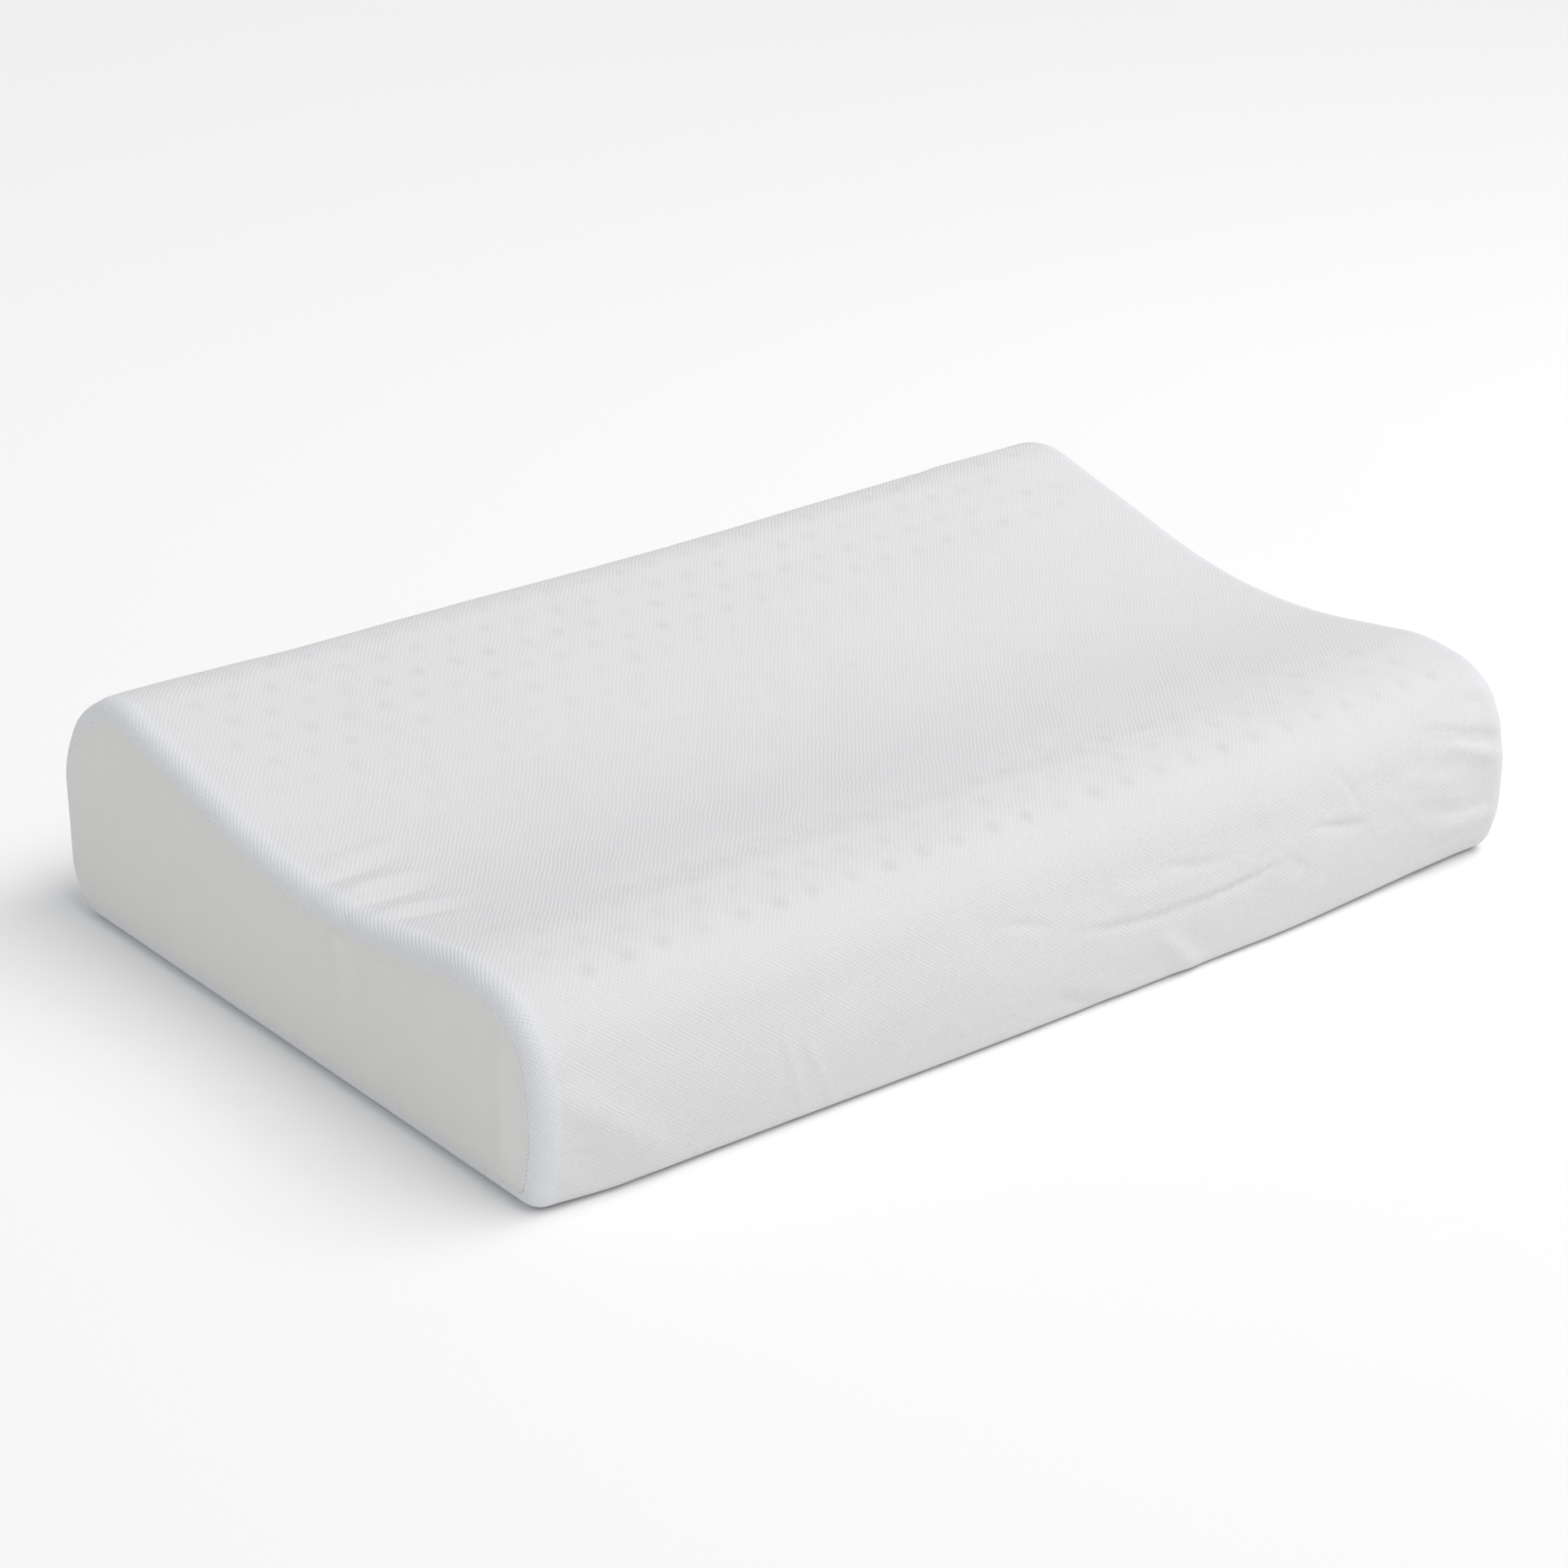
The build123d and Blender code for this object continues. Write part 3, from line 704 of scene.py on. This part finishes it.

# %% [markdown]
# ## Spots over the pin holes
#
# The mould's pins stand in 20 staggered rows of 26. Over each hole the cloth has no foam behind it, so
# it dips by a tenth of a millimetre, and the shade of the empty hole showing through is painted on the
# cloth as a grey spot. How well a row shows depends on how tightly the cloth lies there: clear on the
# low lobe, fair on the high lobe's slope, gone in the hollow.

# %% Spots
PIN_PITCH_X, PIN_PITCH_Y = 20.9 * MM, 17.6 * MM
PINS_PER_ROW, PIN_ROWS = 26, 20
FIRST_PIN_ROW = -173.5 * MM
SPOT_RADIUS = 4.0 * MM
ROW_SHOWS = [
    1.0, 0.66, 0.56, 0.34, 0.1, 0, 0, 0, 0, 0, 0.1, 0.25, 0.32, 0.36, 0.5, 0.72, 0.78, 0.66, 0.6, 0.4,
]
FADING_ROWS = range(5, 15)  # these only show at the left
SPOT_DEPTH = 0.12  # darkness of the clearest spot, and its dip in millimetres


def spot_strengths(x, y, upward):
    """Darkness of the spots at cloth points: exp(-(d / radius)^2.6) about each pin, times its row's share.

    Rows and pins are numbered from the lattice, so each point only looks at its own nearest pin."""
    row = np.clip(np.rint((y - FIRST_PIN_ROW) / PIN_PITCH_Y), 0, PIN_ROWS - 1).astype(int)
    stagger = np.where(row % 2 == 0, 0.25, -0.25) * PIN_PITCH_X
    first = stagger - (PINS_PER_ROW - 1) / 2 * PIN_PITCH_X
    pin = np.clip(np.rint((x - first) / PIN_PITCH_X), 0, PINS_PER_ROW - 1).astype(int)
    random = np.random.default_rng(21)
    vary = random.uniform(0.6, 1.2, (PIN_ROWS, PINS_PER_ROW))
    shift = random.normal(0, 0.5 * MM, (2, PIN_ROWS, PINS_PER_ROW))
    dx = x - first - pin * PIN_PITCH_X - shift[0, row, pin]
    dy = y - FIRST_PIN_ROW - row * PIN_PITCH_Y - shift[1, row, pin]
    show = np.array(ROW_SHOWS)[row] * vary[row, pin]
    faded = (row >= FADING_ROWS.start) & (row < FADING_ROWS.stop)
    show = np.where(faded, show * smooth_step((0.16 - x) / 0.26), show)
    distance = np.hypot(dx, dy / np.maximum(upward, 0.45))
    return show * np.exp(-((distance / SPOT_RADIUS) ** 2.6)) * (upward > 0.25)


print("spots:", PIN_ROWS * PINS_PER_ROW)

# %% [markdown]
# ## The long panel
#
# One strip of jersey goes from one side of the zip, under the foam, up the front, over the top and down
# the back to the other side of the zip. At each end it rolls over the foam's edge with a 10 mm radius
# and turns in at the seam. The surface is the outline carried along x: near an end the outline is drawn
# in by R (1 - cos f) while x goes out by R sin f. The folds then lift it along its own normal. The rows
# are close together where the cloth is seen and wider underneath.

# %% Long panel
END_ROLL = 10.0 * MM
SEAM_GAP = 0.08 * MM  # half the groove between the two cloths
CLOTH = 0.8 * MM
TURNED_IN = 4.0 * MM
LIP = 1.2 * MM  # radius with which the cloth folds under beside the zip
SLOT_HALF = 6.0 * MM
SLOT_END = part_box("zip_end_patch_right")[0].x
CLOSING = 12.0 * MM
FOLDS_FADE = 280.0 * MM  # past this distance from the middle the folds sink towards the seam


def panel_stations():
    """x, roll angle and depth of turn-in for each column: turned-in edge, roll, straight, roll, edge."""
    straight = np.linspace(END_ROLL - HALF, HALF - END_ROLL, 363)
    roll = np.linspace(0, np.arccos(SEAM_GAP / END_ROLL), 12)[1:]
    tuck = np.linspace(0, TURNED_IN, 5)[1:]
    angle = np.concatenate([0 * straight, roll, 0 * tuck + roll[-1]])
    right = np.concatenate([straight, HALF - END_ROLL + END_ROLL * np.sin(roll), HALF - tuck])
    left_x, left_angle = -right[len(straight):][::-1], angle[len(straight):][::-1]
    inside = np.concatenate([0 * straight, 0 * roll, 0 * tuck + 1])
    left_inside = inside[len(straight):][::-1]
    return (
        np.concatenate([left_x, right]),
        np.concatenate([left_angle, angle]),
        np.concatenate([left_inside, inside]),
    )


def panel_rows():
    """Distances round the cover for the rows: fine beside the zip and over the front and the top."""
    dense = np.linspace(0, ROUND, 4000)
    from_foot = dense - FOOT_ARC
    seen = smooth_step((from_foot + 0.02) / 0.02) * smooth_step((0.53 - from_foot) / 0.04)
    edge = np.minimum(dense, ROUND - dense)
    spacing = 4.0 - 2.45 * seen
    spacing = np.where(edge < 0.004, 0.4, np.where(edge < 0.03, np.minimum(spacing, 2.0), spacing)) * MM
    count = np.concatenate([[0], np.cumsum(np.diff(dense) / spacing[1:])])
    return np.interp(np.linspace(0, count[-1], int(count[-1]) + 1), count, dense)


def open_slot(x, rows):
    """Share round the outline, after the rows next to the zip are pushed back to the slot's edges."""
    gap = SLOT_HALF * (1 - smooth_step((np.abs(x) - SLOT_END) / CLOSING)) + 0.15 * MM
    room = 30 * MM
    gap = gap[:, None]
    start = np.where(rows < room, gap + rows * (room - gap) / room, rows)
    left_over = ROUND - rows
    return np.where(left_over < room, ROUND - gap - left_over * (room - gap) / room, start) / ROUND


def long_panel():
    """Points, flat coordinates and spot values of the long panel."""
    x, angle, inside = panel_stations()
    rows = panel_rows()
    point, normal = along_outline(np.clip(x, -HALF, HALF), open_slot(x, rows))
    inset = END_ROLL * (1 - np.cos(angle))[:, None]
    edge = np.minimum(rows, ROUND - rows)
    fold_under = LIP * (1 - np.sqrt(1 - np.clip((LIP - edge) / LIP, 0, 1) ** 2))
    flat_x = np.sign(x) * (np.abs(x) + END_ROLL * (angle - np.sin(angle)) + 2 * inside * (HALF - np.abs(x)))
    grid_x, grid_s = np.broadcast_arrays(flat_x[:, None], rows[None] - FOOT_ARC)
    spots = spot_strengths(np.broadcast_to(x[:, None], grid_x.shape), point[..., 0], normal[..., 1])
    height = cloth_height(np.broadcast_to(x[:, None], grid_x.shape), grid_s)
    room_in_hollow = 2.0 * MM * np.exp(-(((grid_s - 0.27) / 0.07) ** 2))
    height = np.maximum(height, -CLOTH - room_in_hollow) - SPOT_DEPTH * MM * spots
    height *= (1 - inside)[:, None] * smooth_step(edge / (12 * MM))
    height *= smooth_step((END_ROLL * 1.02 - inset) / (6 * MM))
    height *= 0.15 + 0.85 * smooth_step((point[..., 1] - 0.5 * MM) / (8 * MM))
    height *= 1 - 0.8 * smooth_step((np.abs(x) - FOLDS_FADE) / (16 * MM))[:, None]
    along = (height - fold_under) * np.cos(angle)[:, None]
    moved = point - normal * inset[..., None] + normal * along[..., None]
    moved[..., 1] = np.maximum(moved[..., 1], 0.15 * MM)
    out_x = x[:, None] + np.sign(x)[:, None] * height * np.sin(angle)[:, None]
    points = np.concatenate([out_x[..., None], moved], -1)
    return points, np.stack([grid_x, grid_s], -1), spots * SPOT_DEPTH


points, flat, spots = long_panel()
wrap_cloth = make_piece(
    "cover_long_panel", points, grid_quads(*points.shape[:2]), WRAP_JERSEY,
    cloth=flat, values={"pin_shade": spots},
)
add_wall(wrap_cloth, CLOTH)
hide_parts("cover_wrap")

# %% [markdown]
# ## End panels
#
# Each end is closed by a flat piece of the same jersey, sewn to the long panel all round and turned in.
# The surface is a fan: each point of its edge is joined to the nearest point of a straight spine
# through the middle. Spine points are shared, so the mesh is closed there once doubles are merged. The
# cloth bows out by a millimetre, and the left panel has the soft upright folds of slack cloth.

# %% End panels
SPINE = MM * np.array([(-135.0, 45.0), (135.0, 55.0)])
SPINE_STEP = 5.0 * MM
PANEL_EDGE = 0.4 * MM  # radius with which a panel turns in at its seam
# ((y, z) at the start, middle and end, in mm), width, height, lip, (fade in, fade out)
LEFT_FOLDS = [
    (((-48, 96), (-54, 70), (-52, 30)), 7.0, 2.2, 1.2, (0.1, 0.5)),
    (((-58, 90), (-64, 66), (-60, 36)), 6.0, -1.5, 0.0, (0.15, 0.5)),
    (((-66, 40), (-70, 28), (-70, 12)), 5.0, 0.8, 0.5, (0.4, 0.3)),
    (((-170, 88), (-176, 55), (-173, 12)), 6.0, 2.0, 0.0, (0.3, 0.2)),
    (((-126, 84), (-134, 60), (-130, 18)), 12.0, -0.8, 0.5, (0.3, 0.3)),
    (((112, 112), (108, 106), (104, 98)), 3.0, -0.9, 0.5, (0.1, 0.4)),
    (((150, 100), (120, 60), (60, 30)), 26.0, 0.5, 0.0, (0.3, 0.3)),
]
RIGHT_FOLDS = [
    (((-90, 84), (-84, 62), (-92, 34)), 8.0, 1.0, -0.5, (0.15, 0.5)),
    (((40, 98), (52, 76), (48, 44)), 9.0, 0.9, 0.6, (0.15, 0.5)),
    (((-20, 20), (20, 34), (70, 30)), 14.0, 0.6, 0.0, (0.4, 0.4)),
]


def end_panel(side, folds):
    """Points and flat coordinates of an end panel; side is -1 (left) or 1 (right)."""
    share = np.linspace(0, 1, 561)[:-1]
    point, normal = along_outline(np.array([side * HALF]), share)
    point, normal = point[0], normal[0]
    tuck = np.linspace(TURNED_IN, PANEL_EDGE, 4)[:-1]
    turn = np.linspace(0, pi / 2, 7)
    inset = np.concatenate([0 * tuck, PANEL_EDGE * (1 - np.cos(turn))]) + END_ROLL + SEAM_GAP
    depth = np.concatenate([tuck, PANEL_EDGE * (1 - np.sin(turn))])
    rim = point[None] - normal[None] * inset[:, None, None]
    spine_y = np.clip(np.rint(point[:, 0] / SPINE_STEP) * SPINE_STEP, *SPINE[:, 0])
    spine = np.stack([spine_y, np.interp(spine_y, *SPINE.T)], -1)
    reach = np.linspace(0, 1, 42)[1:, None, None] ** 1.15
    fan = rim[-1] * (1 - reach) + spine * reach
    plane = np.concatenate([rim, fan])
    y, z = plane[..., 0], plane[..., 1]
    depth = np.concatenate([depth, 0 * reach[:, 0, 0]])[:, None]
    inwards = np.concatenate([0 * inset, reach[:, 0, 0]])[:, None]
    height = sum(crease(y, z, *fold) for fold in folds)
    height = height + 0.35 * MM * smooth_noise(y, z, 0.11, 31 + side) + 0.7 * MM
    height *= smooth_step(inwards / 0.16)
    x = side * (HALF - depth + height)
    points = np.stack([x, y, z], -1)
    return points, np.stack([y * side, z], -1)


for side, folds, word in ((-1, LEFT_FOLDS, "left"), (1, RIGHT_FOLDS, "right")):
    points, flat = end_panel(side, folds)
    rows, columns = points.shape[:2]
    panel = make_piece(
        f"cover_{word}_end", points, grid_quads(rows, columns, close_columns=True), SHADED_END_JERSEY,
        cloth=flat, towards=(side, 0, 0), weld=True,
    )
    add_wall(panel, CLOTH)
    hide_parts(f"{word}_end_panel")

# %% [markdown]
# ## Thread
#
# A seam's thread isn't a smooth wire: it rises and dips at every stitch. One tube follows the seam's
# groove all round, and its centre line goes up and down once per stitch. The helper carries a small
# circle along any path, given the two directions that stand across it.

# %% Thread helper


def tube(path, across, up, radius, sides=6, closed=False):
    """Points and quads of a tube: path + radius (cos t across + sin t up), with round ends if open."""
    t = np.linspace(0, 2 * pi, sides, endpoint=False)
    if not closed:
        ahead = path[1] - path[0], path[-1] - path[-2]
        ahead = [a / np.linalg.norm(a) for a in ahead]
        path = np.concatenate([[path[0], path[0]], path, [path[-1], path[-1]]])
        across, up = (np.concatenate([[v[0], v[0]], v, [v[-1], v[-1]]]) for v in (across, up))
        size = np.ones(len(path))
        size[[0, 1, -2, -1]] = (0.02, 0.7, 0.7, 0.02)
        path[[0, 1]] -= np.outer((1.0, 0.7), ahead[0]) * radius
        path[[-2, -1]] += np.outer((0.7, 1.0), ahead[1]) * radius
    else:
        size = np.ones(len(path))
    ring = across[:, None] * np.cos(t)[:, None] + up[:, None] * np.sin(t)[:, None]
    points = path[:, None] + radius * size[:, None, None] * ring
    return points.reshape(-1, 3), grid_quads(len(path), sides, close_rows=closed, close_columns=True)


def repeat(points, quads, offsets):
    """The same small shape at each offset, as one set of points and quads."""
    many = (points[None] + np.asarray(offsets)[:, None]).reshape(-1, 3)
    steps = len(points) * np.arange(len(offsets))
    return many, (quads[None] + steps[:, None, None]).reshape(-1, 4)


SEAM_STITCH = 3.0 * MM
SEAM_THREAD = 0.3 * MM


def seam_thread(side):
    """Closed tube in the groove of an end seam, rising and dipping once per stitch."""
    count = int(ROUND / SEAM_STITCH)
    share = np.linspace(0, 1, count * 8, endpoint=False)
    point, normal = along_outline(np.array([side * HALF]), share)
    seam = point[0] - normal[0] * END_ROLL
    rise = SEAM_THREAD * (0.35 * np.cos(2 * pi * count * share) - 0.45)
    path = np.column_stack([side * (HALF + rise), seam])
    across = np.column_stack([0 * rise, normal[0]])
    up = np.broadcast_to((1.0, 0.0, 0.0), path.shape)
    return tube(path, across, up, SEAM_THREAD, closed=True)


for side, word in ((-1, "left"), (1, "right")):
    points, quads = seam_thread(side)
    piece = make_piece(f"{word}_seam_stitches", points, quads, THREAD)
    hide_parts(f"{word}_seam_thread")

# %% [markdown]
# ## Zip tapes
#
# Each tape is a woven band behind one edge of the slot. It isn't perfectly flat: the rows of sewing
# make it ripple by a tenth of a millimetre. A grid along x and across the tape is enough, with its
# thickness added as a wall.

# %% Zip tapes


def zip_tape(word):
    """Points and flat coordinates of the outer face of a tape."""
    low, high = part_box(f"zip_tape_{word}")
    x = np.linspace(low.x, high.x, 380)[:, None]
    z = np.linspace(low.z, high.z, 9)[None]
    ripple = 0.1 * MM * np.sin(2 * pi * x / (13 * MM)) * np.sin(pi * (z - low.z) / (high.z - low.z))
    y = high.y - 0.1 * MM + ripple
    return np.stack(np.broadcast_arrays(x, y, z), -1), np.stack(np.broadcast_arrays(x, z), -1)


for word in ("upper", "lower"):
    points, flat = zip_tape(word)
    tape = make_piece(
        f"woven_tape_{word}", points, grid_quads(*points.shape[:2]), TAPE,
        cloth=flat, towards=(0, 1, 0),
    )
    add_wall(tape, 0.4 * MM)
    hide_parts(f"zip_tape_{word}")

# %% [markdown]
# ## Zip coils
#
# Each row of teeth is one nylon filament wound into a flattened coil. Along x it advances one pitch per
# turn, while its centre goes round an ellipse. The two coils are half a turn apart, and their heads
# reach just past the middle, where they hook into each other. Ten points per turn keep the helix light.

# %% Zip coils
COIL_PITCH = 1.5 * MM
FILAMENT = 0.28 * MM
HEAD_REACH = 0.3 * MM  # how far the heads pass the zip's centre line


def zip_coil(word, sign):
    """Points and quads of one coil: x = pitch * turns, z and y round an ellipse inside the CAD bar."""
    low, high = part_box(f"zip_coil_{word}")
    outer = max(abs(low.z - ZIP_HEIGHT), abs(high.z - ZIP_HEIGHT))
    half_width = (outer + HEAD_REACH) / 2 - FILAMENT
    middle = ZIP_HEIGHT + sign * (outer - HEAD_REACH) / 2
    half_height = (high.y - low.y) / 2 - FILAMENT
    turns = int((high.x - low.x - 4 * FILAMENT) / COIL_PITCH)
    angle = np.linspace(0, 2 * pi * turns, 10 * turns + 1)
    start = low.x + 2 * FILAMENT + (0.5 * COIL_PITCH if sign > 0 else 0.0)
    path = np.column_stack([
        start + COIL_PITCH * angle / (2 * pi) - 0.25 * COIL_PITCH,
        (low.y + high.y) / 2 + half_height * np.sin(angle),
        middle - sign * half_width * np.cos(angle),
    ])
    outward = np.stack([0 * angle, np.sin(angle), -sign * np.cos(angle)], -1)
    return tube(path, outward, np.broadcast_to((1.0, 0.0, 0.0), path.shape), FILAMENT, sides=5)


for word, sign in (("upper", 1), ("lower", -1)):
    points, quads = zip_coil(word, sign)
    coil = make_piece(f"nylon_coil_{word}", points, quads, NYLON)
    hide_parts(f"zip_coil_{word}")

# %% [markdown]
# ## Stops, slider and pull tab
#
# These are hard cast pieces whose CAD shape is already right, so they stay as they are and only get
# their paint. The foam core also keeps its CAD shape with all its pin holes.

# %% Finishes of the kept CAD nodes
KEPT = {
    "zip_top_stops": METAL,
    "zip_bottom_stop": METAL,
    "zip_slider": METAL,
    "zip_pull_tab": METAL,
    "latex_core": LATEX,
}
for node, material in KEPT.items():
    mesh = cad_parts[node].data
    mesh.materials.clear()
    mesh.materials.append(material)
print("kept CAD nodes:", ", ".join(KEPT))

# %% [markdown]
# ## Stitching beside the zip
#
# A line of lockstitches holds each edge of the slot to its tape. One stitch is a short thread that
# comes up out of the cloth, lies on it and goes down again. It is made once and repeated.

# %% Zip stitches
STITCH_PITCH = 3.2 * MM
STITCH_THREAD = 0.2 * MM


def stitch(length, direction, outward):
    """Points and quads of one stitch: a tube along direction whose middle rises and whose ends dip."""
    direction, outward = np.array(direction, float), np.array(outward, float)
    t = np.linspace(-0.5, 0.5, 7)[:, None]
    path = t * length * direction + (0.30 - 5.0 * np.abs(t) ** 3) * MM * 0.55 * outward
    across = np.broadcast_to(np.cross(direction, outward), path.shape)
    return tube(path, across, np.broadcast_to(outward, path.shape), STITCH_THREAD, sides=6)


for word in ("upper", "lower"):
    low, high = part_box(f"zip_stitch_{word}")
    places = np.arange(low.x + 2 * MM, high.x - 2 * MM, STITCH_PITCH)
    offsets = np.column_stack([
        places, np.full(len(places), low.y - 0.02 * MM), np.full(len(places), (low.z + high.z) / 2)
    ])
    points, quads = repeat(*stitch(2.5 * MM, (1, 0, 0), (0, 1, 0)), offsets)
    line = make_piece(f"zip_stitching_{word}", points, quads, THREAD)
    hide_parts(f"zip_stitch_{word}")

# %% [markdown]
# ## Patches over the zip's ends
#
# A small square of jersey covers each end of the zip, so that nothing scratches. It lies over the
# stops' side of the chain as a slightly puffed square with rounded corners, and it is sewn down all
# round. The square is made from a disc: each ray is stretched to the square's edge.

# %% End patches
PATCH_SEAM = 2.2 * MM  # from the patch's edge to its stitches


def patch_edge(angle, half, power=7.0):
    """Radius of a rounded square: half / (|cos|^p + |sin|^p)^(1/p)."""
    return half / (np.abs(np.cos(angle)) ** power + np.abs(np.sin(angle)) ** power) ** (1 / power)


def end_patch(word):
    """Points and flat coordinates of one patch, puffed in the middle and pressed down at its edge."""
    low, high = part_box(f"zip_end_patch_{word}")
    half = (high.x - low.x) / 2
    angle = np.linspace(0, 2 * pi, 96, endpoint=False)[None]
    share = np.linspace(1, 0, 22)[:, None]
    radius = share * patch_edge(angle, half)
    x, z = radius * np.cos(angle), radius * np.sin(angle)
    sewn = np.exp(-(((1 - share) * half - PATCH_SEAM) / (1.0 * MM)) ** 2)
    puff = 0.5 * MM * (1 - share**4) - 0.35 * MM * sewn
    y = high.y + puff + 0.1 * MM * smooth_noise(x, z, 0.012, 41)
    points = np.stack([x + (low.x + high.x) / 2, y, z + (low.z + high.z) / 2], -1)
    return points, np.stack(np.broadcast_arrays(x, z), -1)


def patch_stitches(word):
    """Stitches just inside a patch's edge: four straight runs of the same small shape."""
    low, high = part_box(f"zip_end_patch_{word}")
    middle = np.array([(low.x + high.x) / 2, high.y + 0.02 * MM, (low.z + high.z) / 2])
    inner = (high.x - low.x) / 2 - PATCH_SEAM
    run = np.linspace(-inner + 1.4 * MM, inner - 1.4 * MM, 6)
    edge = np.full(len(run), inner)
    flat = 0 * run
    level = repeat(
        *stitch(2.2 * MM, (1, 0, 0), (0, 1, 0)),
        middle + np.concatenate([np.column_stack([run, flat, edge]), np.column_stack([run, flat, -edge])]),
    )
    upright = repeat(
        *stitch(2.2 * MM, (0, 0, 1), (0, 1, 0)),
        middle + np.concatenate([np.column_stack([edge, flat, run]), np.column_stack([-edge, flat, run])]),
    )
    return np.concatenate([level[0], upright[0]]), np.concatenate([level[1], upright[1] + len(level[0])])


for word in ("left", "right"):
    points, flat = end_patch(word)
    patch = make_piece(
        f"end_patch_{word}", points, grid_quads(*points.shape[:2], close_columns=True), WRAP_JERSEY,
        cloth=flat, towards=(0, 1, 0), weld=True,
    )
    add_wall(patch, 0.6 * MM)
    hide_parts(f"zip_end_patch_{word}")
    points, quads = patch_stitches(word)
    make_piece(f"end_patch_stitches_{word}", points, quads, THREAD)

# %% [markdown]
# ## Care label
#
# A blank satin label is caught in the right end seam and hangs down over the end panel. Its top edge
# follows the seam, and its free end curls away from the cloth a little.

# %% Care label
LABEL_TUCK = 3.0 * MM


def care_label():
    """Points and flat coordinates: across the label by how far down it hangs, curling out as down^2."""
    low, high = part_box("care_label")
    share = np.linspace(0, 1, 2001)
    point, normal = along_outline(np.array([HALF]), share)
    seam = (point[0] - normal[0] * END_ROLL)[share > 0.5]
    order = np.argsort(seam[:, 0])
    across = np.linspace(low.y, high.y, 31)[:, None]
    top = np.interp(across, seam[order, 0], seam[order, 1])
    down = np.linspace(-LABEL_TUCK, high.z - low.z, 45)[None]
    hang = np.clip(down / (high.z - low.z), 0, 1)
    middle = (low.y + high.y) / 2
    curl = 2.6 * MM * hang**2.2 + 0.8 * MM * np.sin(pi * hang) + 12.0 * hang**2 * (across - middle) ** 2
    emerge = 1.3 * MM * smooth_step(down / (2.5 * MM) + 0.3)
    x = HALF - 0.9 * MM + emerge + curl
    y = middle + (across - middle) * (1 - 0.02 * hang) + 1.0 * MM * hang
    z = top - down + 0.4 * MM * hang * np.sin(pi * (across - low.y) / (high.y - low.y))
    points = np.stack(np.broadcast_arrays(x, y, z), -1)
    return points, np.stack(np.broadcast_arrays(across, down), -1)


points, flat = care_label()
label = make_piece(
    "blank_care_label", points, grid_quads(*points.shape[:2]), SATIN, cloth=flat, towards=(1, 0, 0)
)
add_wall(label, 0.3 * MM)
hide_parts("care_label")

# %% [markdown]
# ## Floor
#
# The pillow stands on a plain white studio floor that runs far past the view. It isn't part of the
# object.

# %% Floor
FLOOR_REACH = 40.0


def studio_floor():
    """Large flat square with a plain matt white finish and barely visible unevenness."""
    white = (0.94, 0.94, 0.94)
    material, tree, shader = new_material("studio_floor", white, 0.9, Specular_IOR_Level=0.1)
    place = put(tree, "ShaderNodeTexCoord", {}).outputs["Object"]
    mottled = noise(tree, place, 1.5, 2.0)
    tree.links.new(tint(tree, mottled, white, (0.955, 0.955, 0.955)), shader.inputs["Base Color"])
    side = np.array([-FLOOR_REACH, FLOOR_REACH])
    corner = np.stack(np.meshgrid(side, side, indexing="ij") + [np.zeros((2, 2))], -1).reshape(-1, 3)
    mesh = bpy.data.meshes.new("studio_floor")
    mesh.from_pydata(corner.tolist(), [], [(0, 2, 3, 1)])
    mesh.materials.append(material)
    floor = bpy.data.objects.new("studio_floor", mesh)
    bpy.context.scene.collection.objects.link(floor)
    return floor


studio_floor()
